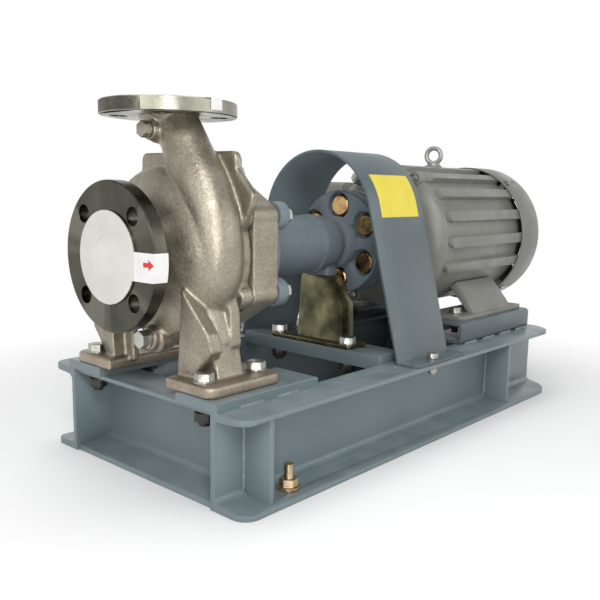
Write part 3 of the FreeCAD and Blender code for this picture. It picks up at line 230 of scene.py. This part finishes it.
# The guard's inner side: the same paint made lighter, a painted light.
guard_inner_paint = surface("guard_inner_paint", (0.205, 0.258, 0.280), (0.235, 0.290, 0.312), 0.45, patch=6.0,
                            grain=420.0, depth=0.00005)
pump_paint = surface("pump_paint", (0.118, 0.150, 0.172), (0.146, 0.182, 0.204), 0.42, patch=22.0, grain=650.0,
                     depth=0.00018, dust=(0.28, 0.31, 0.32))
motor_paint = surface("motor_paint", (0.165, 0.166, 0.146), (0.198, 0.198, 0.176), 0.38, patch=20.0, grain=700.0,
                      depth=0.00012, dust=(0.34, 0.34, 0.32))
fan_cover_paint = surface("fan_cover_paint", (0.150, 0.153, 0.136), (0.174, 0.176, 0.157), 0.34, patch=12.0,
                          grain=500.0, depth=0.00004, coat=0.1)
cast_steel = cast_metal("cast_steel", (0.262, 0.240, 0.194), (0.375, 0.345, 0.284), 0.38)
foot_steel = cast_metal("foot_steel", (0.315, 0.268, 0.212), (0.415, 0.358, 0.290), 0.42)
# Suction flange face: machined metal made very dark, a painted dark reflection, with lighter fans that are
# painted highlights.
suction_metal = turned_metal("suction_metal", (0.058, 0.057, 0.043), (0.098, 0.095, 0.074), 0.24,
                             (0.0, 0.0, SHAFT_Z), 0, sector=(0.165, 0.160, 0.130))
# Discharge flange: machined metal whose darker fans are a painted reflection.
discharge_metal = turned_metal("discharge_metal", (0.250, 0.245, 0.196), (0.340, 0.333, 0.274), 0.24,
                               (DISCHARGE_X, 0.0, 0.0), 2, sector=(0.150, 0.146, 0.115))
shaft_metal = turned_metal("shaft_metal", (0.50, 0.50, 0.49), (0.58, 0.57, 0.55), 0.28, (0.0, 0.0, SHAFT_Z), 0)
dark_steel = surface("dark_steel", (0.030, 0.028, 0.026), (0.065, 0.060, 0.052), 0.38, metal=0.6, patch=90.0)
plain_steel = surface("plain_steel", (0.48, 0.47, 0.44), (0.58, 0.56, 0.52), 0.34, metal=0.95, patch=120.0)
grey_steel = surface("grey_steel", (0.30, 0.30, 0.28), (0.38, 0.38, 0.35), 0.48, metal=0.6, patch=90.0,
                     grain=900.0, depth=0.00008)
zinc = surface("zinc", (0.30, 0.30, 0.27), (0.42, 0.41, 0.37), 0.33, metal=0.9, patch=150.0)
gold_zinc = surface("gold_zinc", (0.060, 0.057, 0.030), (0.205, 0.192, 0.105), 0.30, metal=0.85, patch=34.0,
                    swing=0.1, grain=300.0, depth=0.00006)
copper_zinc = surface("copper_zinc", (0.40, 0.27, 0.16), (0.56, 0.46, 0.30), 0.32, metal=0.95, patch=140.0)
brass = surface("brass", (0.62, 0.42, 0.16), (0.36, 0.20, 0.13), 0.26, metal=1.0, patch=110.0)
rubber = surface("rubber", (0.015, 0.015, 0.016), (0.028, 0.027, 0.026), 0.65, patch=120.0)
black_plastic = surface("black_plastic", (0.020, 0.020, 0.021), (0.035, 0.035, 0.035), 0.5, patch=80.0)
core_steel = surface("core_steel", (0.10, 0.09, 0.085), (0.16, 0.15, 0.14), 0.5, metal=0.8, patch=60.0)
white_disc = surface("white_disc", (0.560, 0.552, 0.500), (0.630, 0.622, 0.575), 0.40, patch=25.0, grain=300.0,
                     depth=0.00003)
white_tape = surface("white_tape", (0.690, 0.685, 0.670), (0.750, 0.745, 0.735), 0.50, patch=60.0, grain=800.0,
                     depth=0.00004)
yellow_label = surface("yellow_label", (0.700, 0.580, 0.050), (0.750, 0.630, 0.070), 0.38, patch=40.0,
                       grain=300.0, depth=0.00002)
ink = surface("ink", (0.58, 0.020, 0.015), (0.66, 0.035, 0.025), 0.5, patch=60.0)
ceramic = surface("ceramic", (0.72, 0.70, 0.66), (0.80, 0.78, 0.74), 0.3, patch=60.0)
# Weld beads: the base paint made lighter, a painted highlight along the beads.
weld_paint = surface("weld_paint", (0.145, 0.182, 0.194), (0.215, 0.255, 0.264), 0.34, patch=60.0, grain=500.0,
                     depth=0.00010)

# The finish of each solid of the part
finishes = {
    base_paint: ("side_channel_near", "side_channel_far", "end_channel_pump", "end_channel_motor",
                 "channel_stiffeners", "pump_pads", "cross_bar"),
    # Guard and rails take the darker copy of the base paint, a painted shade
    guard_paint: ("motor_rails", "coupling_guard"),
    pump_paint: ("bearing_housing", "bearing_cover", "coupling_pump_half", "coupling_motor_half"),
    motor_paint: ("motor_front_bracket", "motor_frame", "motor_feet", "motor_rear_bracket", "terminal_box",
                  "terminal_lid"),
    fan_cover_paint: ("fan_cover",),
    shaft_metal: ("pump_shaft", "motor_shaft"),
    plain_steel: ("impeller", "impeller_nut", "pump_bearings", "motor_bearings", "pump_key", "motor_key",
                  "seal_seat", "drain_plug", "casing_studs"),
    grey_steel: ("eye_bolt",),
    cast_steel: ("casing", "casing_cover", "gauge_plug"),
    zinc: ("housing_bolts", "bearing_cover_screws", "guard_bolts", "bracket_bolts", "motor_foot_bolts",
           "fan_cover_screws", "lid_screws", "pump_foot_bolts", "support_bolts"),
    gold_zinc: ("support_foot",),
    copper_zinc: ("earth_stud",),
    brass: ("coupling_bolts",),
    rubber: ("coupling_bushes",),
    black_plastic: ("cooling_fan", "cable_gland"),
    core_steel: ("motor_stator", "motor_rotor_core"),
    white_disc: ("suction_cover", "discharge_cover"),
    white_tape: ("suction_tape", "discharge_tape"),
    yellow_label: ("guard_label",),
    ceramic: ("seal_ring",),
}
# Widths of the rounded edges
bevels = {0.0012: ("side_channel_near", "side_channel_far", "end_channel_pump", "end_channel_motor",
                   "motor_rails", "cross_bar", "motor_feet", "support_foot"),
          0.0010: ("motor_frame", "motor_front_bracket", "bearing_housing"),
          0.0006: ("fan_cover", "terminal_box", "terminal_lid", "coupling_pump_half", "coupling_motor_half",
                   "channel_stiffeners", "coupling_guard", "pump_foot_bolts", "support_bolts", "guard_bolts",
                   "motor_foot_bolts", "bracket_bolts", "housing_bolts", "casing_studs", "gauge_plug",
                   "drain_plug", "earth_stud", "fan_cover_screws", "bearing_cover_screws")}


def smooth(obj, angle=32.0):
    """Smooth shading with sharp edges kept where faces meet at more than angle degrees."""
    mesh = obj.data
    if mesh.has_custom_normals:
        mesh.attributes.remove(mesh.attributes["custom_normal"])
    mesh.shade_smooth()
    mesh.set_sharp_from_angle(angle=math.radians(angle))


def soften(obj, width):
    """Small rounded edges that catch the light."""
    weld = obj.modifiers.new("weld", "WELD")
    weld.merge_threshold = 0.00002
    bevel = obj.modifiers.new("edge", "BEVEL")
    bevel.width = width
    bevel.segments = 2
    bevel.limit_method = "ANGLE"
    bevel.angle_limit = math.radians(40)
    bevel.harden_normals = False
    bevel.use_clamp_overlap = True


for finish, names in finishes.items():
    for name in names:
        nodes[name].data.materials.clear()
        nodes[name].data.materials.append(finish)
        smooth(nodes[name])
for width, names in bevels.items():
    for name in names:
        soften(nodes[name], width)


def finish_faces(obj, extra, test):
    """Gives one more material to the faces whose centre passes the test."""
    obj.data.materials.append(extra)
    index = len(obj.data.materials) - 1
    for face in obj.data.polygons:
        if test(face.center, face.normal):
            face.material_index = index


def new_piece(name, verts, faces, finish, body="set"):
    """A mesh piece in the set's own frame that rides on a body."""
    mesh = bpy.data.meshes.new(name)
    mesh.from_pydata([tuple(v) for v in verts], [], faces)
    mesh.validate()
    obj = bpy.data.objects.new(name, mesh)
    bpy.context.scene.collection.objects.link(obj)
    mesh.materials.append(finish)
    mesh.shade_smooth()
    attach(obj, body)
    return obj


# Cast skins: the pump's castings with the soft fillets and run-out edges of sand moulding
JOINT_X, COVER_END_X = -0.264, -0.226
FLANGE_BACK_X, FLANGE_LOW_Z = -0.3653, 0.3858
INTO_FLANGE = 0.0065
STUD_ANGLES = (28.6, 90.0, 151.4, 208.6, 270.0, 331.4)
STUD_CIRCLE, LOBE_R, LOBE_HOLE_R = 0.0877, 0.0125, 0.060
LOBE_STEPS, LOBE_GAP = 6, 0.0002
BALL_POINTS, GOLDEN_TURN = 220, math.pi * (3.0 - math.sqrt(5.0))
SWELL_X = -0.3075
SWELL_TOP, SWELL_TOP_R = (0.055, SHAFT_Z - 0.043), 0.0265
SWELL_TIP, SWELL_TIP_R = (0.0885, SHAFT_Z - 0.084), 0.0075
LEG_CORNERS = ((-0.3415, 0.064, 0.2130), (-0.3375, 0.1010, 0.1700), (-0.3355, 0.1045, 0.1520),
               (-0.3370, 0.0760, 0.1215), (-0.3405, 0.0560, 0.1215))
LEG_DEPTH = 0.016
SKIN_VOXEL, SKIN_KEEP = 0.0017, 0.35
CASING_RELAX, COVER_RELAX = 8, 5
FOOT_STEEL_Z, FLANGE_EDGE = 0.1245, 0.0004


def welded_copy(name):
    """A bmesh of a node's solid with its doubled corners joined."""
    bm = bmesh.new()
    bm.from_mesh(nodes[name].data)
    bmesh.ops.remove_doubles(bm, verts=bm.verts, dist=0.00001)
    return bm


def cut_and_cap(bm, point, outward, stub=0.0):
    """Cuts away what lies beyond the plane and closes the cut, drawn out by stub along outward."""
    every = bm.verts[:] + bm.edges[:] + bm.faces[:]
    found = bmesh.ops.bisect_plane(bm, geom=every, plane_co=point, plane_no=outward, clear_outer=True)
    rim = [e for e in found["geom_cut"] if isinstance(e, bmesh.types.BMEdge)]
    cap = bmesh.ops.triangle_fill(bm, edges=rim, use_beauty=True, use_dissolve=False)
    faces = [f for f in cap["geom"] if isinstance(f, bmesh.types.BMFace)]
    if stub and faces:
        drawn = bmesh.ops.extrude_face_region(bm, geom=faces)
        bmesh.ops.delete(bm, geom=faces, context="FACES_ONLY")
        moved = [v for v in drawn["geom"] if isinstance(v, bmesh.types.BMVert)]
        bmesh.ops.translate(bm, verts=moved, vec=Vector(outward) * stub)
    bmesh.ops.recalc_face_normals(bm, faces=bm.faces)


def piece_from(bm, name, finish, body="set"):
    """A piece made of the bmesh, which is freed."""
    mesh = bpy.data.meshes.new(name)
    bm.to_mesh(mesh)
    bm.free()
    obj = bpy.data.objects.new(name, mesh)
    bpy.context.scene.collection.objects.link(obj)
    mesh.materials.clear()
    mesh.materials.append(finish)
    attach(obj, body)
    return obj


def melt(obj, voxel, rounds, keep):
    """Turns a piece into one soft skin: voxels, smoothing rounds, then the share of faces to keep."""
    remesh = obj.modifiers.new("voxels", "REMESH")
    remesh.mode = "VOXEL"
    remesh.voxel_size = voxel
    relax = obj.modifiers.new("relax", "SMOOTH")
    relax.factor = 0.5
    relax.iterations = rounds
    thin = obj.modifiers.new("thin", "DECIMATE")
    thin.ratio = keep
    finish = obj.data.materials[0]
    shape = bpy.data.meshes.new_from_object(obj.evaluated_get(bpy.context.evaluated_depsgraph_get()))
    obj.modifiers.clear()
    obj.data = shape
    shape.materials.clear()
    shape.materials.append(finish)
    shape.validate()
    shape.shade_smooth()


def lobed_ring(bm, x0, x1):
    """Outer wall of the cover: straight flanks that join the six stud bosses."""
    outline = []
    count = len(STUD_ANGLES)
    for k, at in enumerate(STUD_ANGLES):
        before = STUD_ANGLES[k - 1] - (360.0 if k == 0 else 0.0)
        after = STUD_ANGLES[(k + 1) % count] + (360.0 if k == count - 1 else 0.0)
        middle = Vector((math.cos(math.radians(at)), math.sin(math.radians(at)))) * STUD_CIRCLE
        for step in range(LOBE_STEPS + 1):
            turn = math.radians((before + at) / 2 + (after - before) / 2 * step / LOBE_STEPS)
            outline.append(middle + Vector((math.cos(turn), math.sin(turn))) * LOBE_R)
    hole = [p.normalized() * LOBE_HOLE_R for p in outline]
    rings = []
    for loop, x in ((outline, x0), (outline, x1), (hole, x1), (hole, x0)):
        rings.append([bm.verts.new((x, p.x, SHAFT_Z + p.y)) for p in loop])
    for a, b in zip(rings, rings[1:] + rings[:1]):
        for k in range(len(outline)):
            j = (k + 1) % len(outline)
            bm.faces.new((a[k], a[j], b[j], b[k]))
    bmesh.ops.recalc_face_normals(bm, faces=bm.faces)


def tapered_swell(bm, top, top_r, tip, tip_r):
    """Drop shape from the scroll down to the side of a foot: the hull of a large and a small ball."""
    points = []
    for middle, r in ((top, top_r), (tip, tip_r)):
        for k in range(BALL_POINTS):
            height = 1.0 - (2.0 * k + 1.0) / BALL_POINTS
            turn = k * GOLDEN_TURN
            flat = math.sqrt(1.0 - height * height)
            outward = Vector((flat * math.cos(turn), flat * math.sin(turn), height))
            points.append(bm.verts.new(Vector(middle) + outward * r))
    bmesh.ops.convex_hull(bm, input=points, use_existing_faces=False)
    bmesh.ops.delete(bm, geom=[v for v in points if v.is_valid and not v.link_faces], context="VERTS")


def leg_front(bm, side):
    """Pointed front panel of a leg, proud of the scroll up to its tip and cut back over the foot's bolt."""
    points = [bm.verts.new((x + back, side * y, z)) for x, y, z in LEG_CORNERS for back in (0.0, LEG_DEPTH)]
    bmesh.ops.convex_hull(bm, input=points, use_existing_faces=False)


def castings():
    """Skins for casing and casing cover, and the casing's two machined flanges as crisp pieces."""
    bm = welded_copy("casing")
    cut_and_cap(bm, (FLANGE_BACK_X, 0, 0), (-1, 0, 0), INTO_FLANGE)
    cut_and_cap(bm, (0, 0, FLANGE_LOW_Z), (0, 0, 1), INTO_FLANGE)
    for side in (-1, 1):
        tapered_swell(bm, (SWELL_X, side * SWELL_TOP[0], SWELL_TOP[1]), SWELL_TOP_R,
                      (SWELL_X, side * SWELL_TIP[0], SWELL_TIP[1]), SWELL_TIP_R)
        leg_front(bm, side)
    body = piece_from(bm, "casing_skin", cast_steel)
    melt(body, SKIN_VOXEL, CASING_RELAX, SKIN_KEEP)
    finish_faces(body, foot_steel, lambda c, n: c.z < FOOT_STEEL_Z)
    suction = welded_copy("casing")
    cut_and_cap(suction, (FLANGE_BACK_X, 0, 0), (1, 0, 0))
    suction = piece_from(suction, "suction_flange_face", suction_metal)
    discharge = welded_copy("casing")
    cut_and_cap(discharge, (0, 0, FLANGE_LOW_Z), (0, 0, -1))
    discharge = piece_from(discharge, "discharge_flange_face", discharge_metal)
    for flange in (suction, discharge):
        smooth(flange)
        soften(flange, FLANGE_EDGE)
    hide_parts("casing")
    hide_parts("casing")
    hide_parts("casing")
    bm = welded_copy("casing_cover")
    lobed_ring(bm, JOINT_X + LOBE_GAP, COVER_END_X)
    cover = piece_from(bm, "casing_cover_skin", cast_steel)
    melt(cover, SKIN_VOXEL, COVER_RELAX, SKIN_KEEP)
    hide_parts("casing_cover")


# Small things laid on the set: the tape's arrow and the weld beads of the base
ARROW = ((-0.0615, 0.0022), (-0.0690, 0.0022), (-0.0690, 0.0052), (-0.0765, 0.0), (-0.0690, -0.0052),
         (-0.0690, -0.0022), (-0.0615, -0.0022))
ARROW_Z = SHAFT_Z - 0.0025
TAPE_LINE = ((-0.0480, -0.3845), (-0.0781, -0.3821))
INK_BACK, INK_FRONT = 0.00002, 0.00012
BEAD_STEP, BEAD_SIDES, BEAD_ENDS = 0.0011, 8, 0.35
BEAD_RIPPLE, BEAD_UNEVEN = 0.16, 0.09
PLATE_BEAD_R, PLATE_BEAD_LIFT, PLATE_BEAD_GAP = 0.0021, 0.0012, 0.004
SEAM_BEAD_R, SEAM_Z, SEAM_MARGIN = 0.0022, 0.1004, 0.006
STITCH_RUN, STITCH_GAP = 0.034, 0.018


def tape_arrow():
    """Plain arrow printed on the tape, a film that follows the slope of the strip."""
    (y0, x0), (y1, x1) = TAPE_LINE
    verts = []
    for lift in (INK_BACK, INK_FRONT):
        for y, z in ARROW:
            verts.append((x0 + (x1 - x0) * (y - y0) / (y1 - y0) - lift, y, ARROW_Z + z))
    count = len(ARROW)
    faces = [tuple(range(count)), tuple(range(2 * count - 1, count - 1, -1))]
    faces += [(k, k + count, (k + 1) % count + count, (k + 1) % count) for k in range(count)]
    arrow = new_piece("tape_arrow", verts, faces, ink, nodes["suction_tape"]["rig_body"])
    arrow.data.shade_flat()


def loose_parts(name):
    """Lowest and highest corners of each separate solid of a node."""
    bm = welded_copy(name)
    left = set(bm.verts)
    boxes = []
    while left:
        group, open_ends = set(), [left.pop()]
        while open_ends:
            vert = open_ends.pop()
            group.add(vert)
            for edge in vert.link_edges:
                other = edge.other_vert(vert)
                if other in left:
                    left.discard(other)
                    open_ends.append(other)
        places = np.array([v.co for v in group])
        boxes.append((places.min(axis=0), places.max(axis=0)))
    bm.free()
    return boxes


def bead(verts, faces, start, end, radius, rng):
    """One weld bead from start to end: an uneven rippled roll, half sunk in the joint."""
    start, end = Vector(start), Vector(end)
    along = (end - start).normalized()
    side = along.cross(Vector((0.31, 0.55, 0.77))).normalized()
    other = along.cross(side)
    count = max(6, int((end - start).length / BEAD_STEP))
    first = len(verts)
    for k in range(count + 1):
        taper = min(1.0, BEAD_ENDS + min(k, count - k) * BEAD_ENDS)
        ripple = BEAD_RIPPLE * math.sin(k * 2.1)
        r = radius * taper * (1.0 + ripple + rng.uniform(-BEAD_UNEVEN, BEAD_UNEVEN))
        middle = start.lerp(end, k / count)
        for j in range(BEAD_SIDES):
            turn = math.tau * j / BEAD_SIDES
            verts.append(middle + (side * math.cos(turn) + other * math.sin(turn)) * r)
    for k in range(count):
        ring = first + k * BEAD_SIDES
        for j in range(BEAD_SIDES):
            a, b = ring + j, ring + (j + 1) % BEAD_SIDES
            faces.append((a, b, b + BEAD_SIDES, a + BEAD_SIDES))
    faces.append(tuple(first + j for j in range(BEAD_SIDES - 1, -1, -1)))
    faces.append(tuple(first + count * BEAD_SIDES + j for j in range(BEAD_SIDES)))


def stitches(length, run, gap):
    """Starts and ends of stitch welds along a seam."""
    count = max(1, int((length + gap) / (run + gap)))
    spare = (length - count * run - (count - 1) * gap) / 2
    return [(spare + k * (run + gap), spare + k * (run + gap) + run) for k in range(count)]


def base_welds():
    """Beads where stiffeners, pads and rails meet the side channels."""
    rng = random.Random(7)
    verts, faces = [], []
    for low, high in loose_parts("channel_stiffeners"):
        side = 1 if low[1] > 0 else -1
        y = (low[1] if side > 0 else high[1]) + side * PLATE_BEAD_LIFT
        for x in (low[0], high[0]):
            bead(verts, faces, (x, y, low[2] + PLATE_BEAD_GAP), (x, y, high[2] - PLATE_BEAD_GAP),
                 PLATE_BEAD_R, rng)
    for name in ("pump_pads", "motor_rails"):
        for low, high in loose_parts(name):
            side = 1 if low[1] > 0 else -1
            edge = high[1] if side > 0 else low[1]
            for a, b in stitches(high[0] - low[0] - 2 * SEAM_MARGIN, STITCH_RUN, STITCH_GAP):
                bead(verts, faces, (low[0] + SEAM_MARGIN + a, edge, SEAM_Z),
                     (low[0] + SEAM_MARGIN + b, edge, SEAM_Z), SEAM_BEAD_R, rng)
    # The beads wear the lighter copy of the base paint, a painted highlight.
    new_piece("base_welds", verts, faces, weld_paint, "set")


# Stage: pale floor that runs to white, soft light and the camera
FLOOR_HALF, FLOOR_Z, FLOOR_FADE = 40.0, -0.0004, (0.40, 0.80)


def stage():
    """Pale floor that keeps the set's shadow and runs into the white background further out."""
    half = FLOOR_HALF
    mesh = bpy.data.meshes.new("floor")
    mesh.from_pydata([(-half, -half, 0), (half, -half, 0), (half, half, 0), (-half, half, 0)], [], [(0, 1, 2, 3)])
    floor = bpy.data.objects.new("floor", mesh)
    bpy.context.scene.collection.objects.link(floor)
    floor.location.z = FLOOR_Z
    made = bpy.data.materials.new("floor")
    made.use_nodes = True
    tree = made.node_tree
    shader = tree.nodes["Principled BSDF"]
    shader.inputs["Base Color"].default_value = (0.90, 0.90, 0.90, 1)
    shader.inputs["Roughness"].default_value = 0.9
    white = tree.nodes.new("ShaderNodeEmission")
    far = node(tree, "ShaderNodeVectorMath", operation="LENGTH")
    tree.links.new(place(tree), far.inputs[0])
    fade = map_range(tree, far.outputs["Value"], FLOOR_FADE, interpolation_type="SMOOTHSTEP")
    mix = tree.nodes.new("ShaderNodeMixShader")
    tree.links.new(times(tree, fade, seen_directly(tree)), mix.inputs["Fac"])
    tree.links.new(shader.outputs[0], mix.inputs[1])
    tree.links.new(white.outputs[0], mix.inputs[2])
    tree.links.new(mix.outputs[0], tree.nodes["Material Output"].inputs["Surface"])
    mesh.materials.append(made)


def ramp_by_height(tree, coordinate, low, high, at):
    """A colour that goes from low to high between the two heights of the direction in at."""
    split = tree.nodes.new("ShaderNodeSeparateXYZ")
    tree.links.new(coordinate, split.inputs[0])
    ramp = tree.nodes.new("ShaderNodeValToRGB")
    for element, position, colour in zip(ramp.color_ramp.elements, at, (low, high)):
        element.position = position
        element.color = (*colour, 1)
    tree.links.new(split.outputs["Z"], ramp.inputs["Fac"])
    return ramp.outputs["Color"]


def seen_directly(tree):
    """1 for camera rays and for rays in reflections and glass, which show the background; 0 for light."""
    path = tree.nodes.new("ShaderNodeLightPath")
    total = path.outputs["Is Camera Ray"]
    for name in ("Is Glossy Ray", "Is Transmission Ray"):
        made = node(tree, "ShaderNodeMath", operation="MAXIMUM")
        tree.links.new(total, made.inputs[0])
        tree.links.new(path.outputs[name], made.inputs[1])
        total = made.outputs[0]
    return total


def world_light():
    """White background, darker overhead in reflections; a soft grey sky for the light itself."""
    world = bpy.data.worlds.new("studio")
    bpy.context.scene.world = world
    world.use_nodes = True
    tree = world.node_tree
    direction = tree.nodes.new("ShaderNodeTexCoord").outputs["Generated"]
    sky = tree.nodes["Background"]
    tree.links.new(ramp_by_height(tree, direction, (0.30, 0.31, 0.33), (0.95, 0.95, 0.95), (0.0, 0.75)),
                   sky.inputs["Color"])
    sky.inputs["Strength"].default_value = 0.50
    white = tree.nodes.new("ShaderNodeBackground")
    tree.links.new(ramp_by_height(tree, direction, (1.0, 1.0, 1.0), (0.30, 0.30, 0.30), (0.34, 0.72)),
                   white.inputs["Color"])
    white.inputs["Strength"].default_value = 1.0
    mix = tree.nodes.new("ShaderNodeMixShader")
    tree.links.new(seen_directly(tree), mix.inputs["Fac"])
    tree.links.new(sky.outputs[0], mix.inputs[1])
    tree.links.new(white.outputs[0], mix.inputs[2])
    tree.links.new(mix.outputs[0], tree.nodes["World Output"].inputs["Surface"])


def lamp(name, at, aim, size, power):
    """A soft rectangular lamp at a place, turned to what it is aimed at; power is in watts."""
    data = bpy.data.lights.new(name, "AREA")
    data.shape = "RECTANGLE"
    data.size, data.size_y = size
    data.energy = power
    obj = bpy.data.objects.new(name, data)
    bpy.context.scene.collection.objects.link(obj)
    obj.location = at
    obj.rotation_euler = (Vector(aim) - Vector(at)).to_track_quat("-Z", "Y").to_euler()


def camera():
    """The photograph's camera: its place, heading, tilt, roll, focal length and principal point."""
    at = Vector((-0.8034, -0.6441, 0.3153))
    heading, down, roll = (math.radians(a) for a in (48.50, 9.34, 1.03))
    focal_px, middle_px, frame_px = 738.2, (308.25, 308.77), 600.0
    data = bpy.data.cameras.new("camera")
    data.sensor_width = 36.0
    data.lens = focal_px / frame_px * data.sensor_width
    data.shift_x = 0.5 - middle_px[0] / frame_px
    data.shift_y = middle_px[1] / frame_px - 0.5
    data.clip_start = 0.01
    obj = bpy.data.objects.new("camera", data)
    bpy.context.scene.collection.objects.link(obj)
    turn = Matrix.Rotation(-heading, 4, "Z") @ Matrix.Rotation(math.pi / 2 - down, 4, "X")
    obj.matrix_world = Matrix.Translation(at) @ turn @ Matrix.Rotation(roll, 4, "Z")
    bpy.context.scene.camera = obj


stage()
world_light()
lamp("key", (-1.5, -1.5, 1.7), (0.0, 0.0, 0.2), (0.8, 0.8), 26.0)
lamp("near", (-0.98, -0.84, 0.37), (-0.05, 0.0, 0.20), (0.22, 0.22), 3.0)
lamp("fill", (0.8, -2.4, 1.2), (0.0, 0.0, 0.2), (1.8, 1.2), 11.0)
lamp("left", (-2.4, -0.5, 1.0), (0.0, 0.0, 0.2), (1.2, 1.2), 9.0)
lamp("top", (0.1, 0.5, 2.6), (0.0, 0.0, 0.2), (2.0, 1.4), 21.0)
camera()
bpy.context.scene.view_settings.view_transform = "Standard"

# Heights under which the nuts and shanks are dark; the heads above them are bright
DARK_BELOW = (("pump_foot_bolts", 0.109), ("support_bolts", 0.100), ("motor_foot_bolts", 0.128))
GUARD_FEET_Z = 0.115
for name, level in DARK_BELOW:
    finish_faces(nodes[name], dark_steel, lambda c, n, level=level: c.z < level)

castings()
# The guard's inner side in a lighter copy of its paint, a painted light; and the end of the tape that lies on the
# disc
finish_faces(nodes["coupling_guard"], guard_inner_paint,
             lambda c, n: n.y * c.y + n.z * (c.z - SHAFT_Z) < 0 and c.z > GUARD_FEET_Z)
finish_faces(nodes["suction_tape"], white_disc, lambda c, n: c.y > TAPE_LINE[0][0])
tape_arrow()
base_welds()
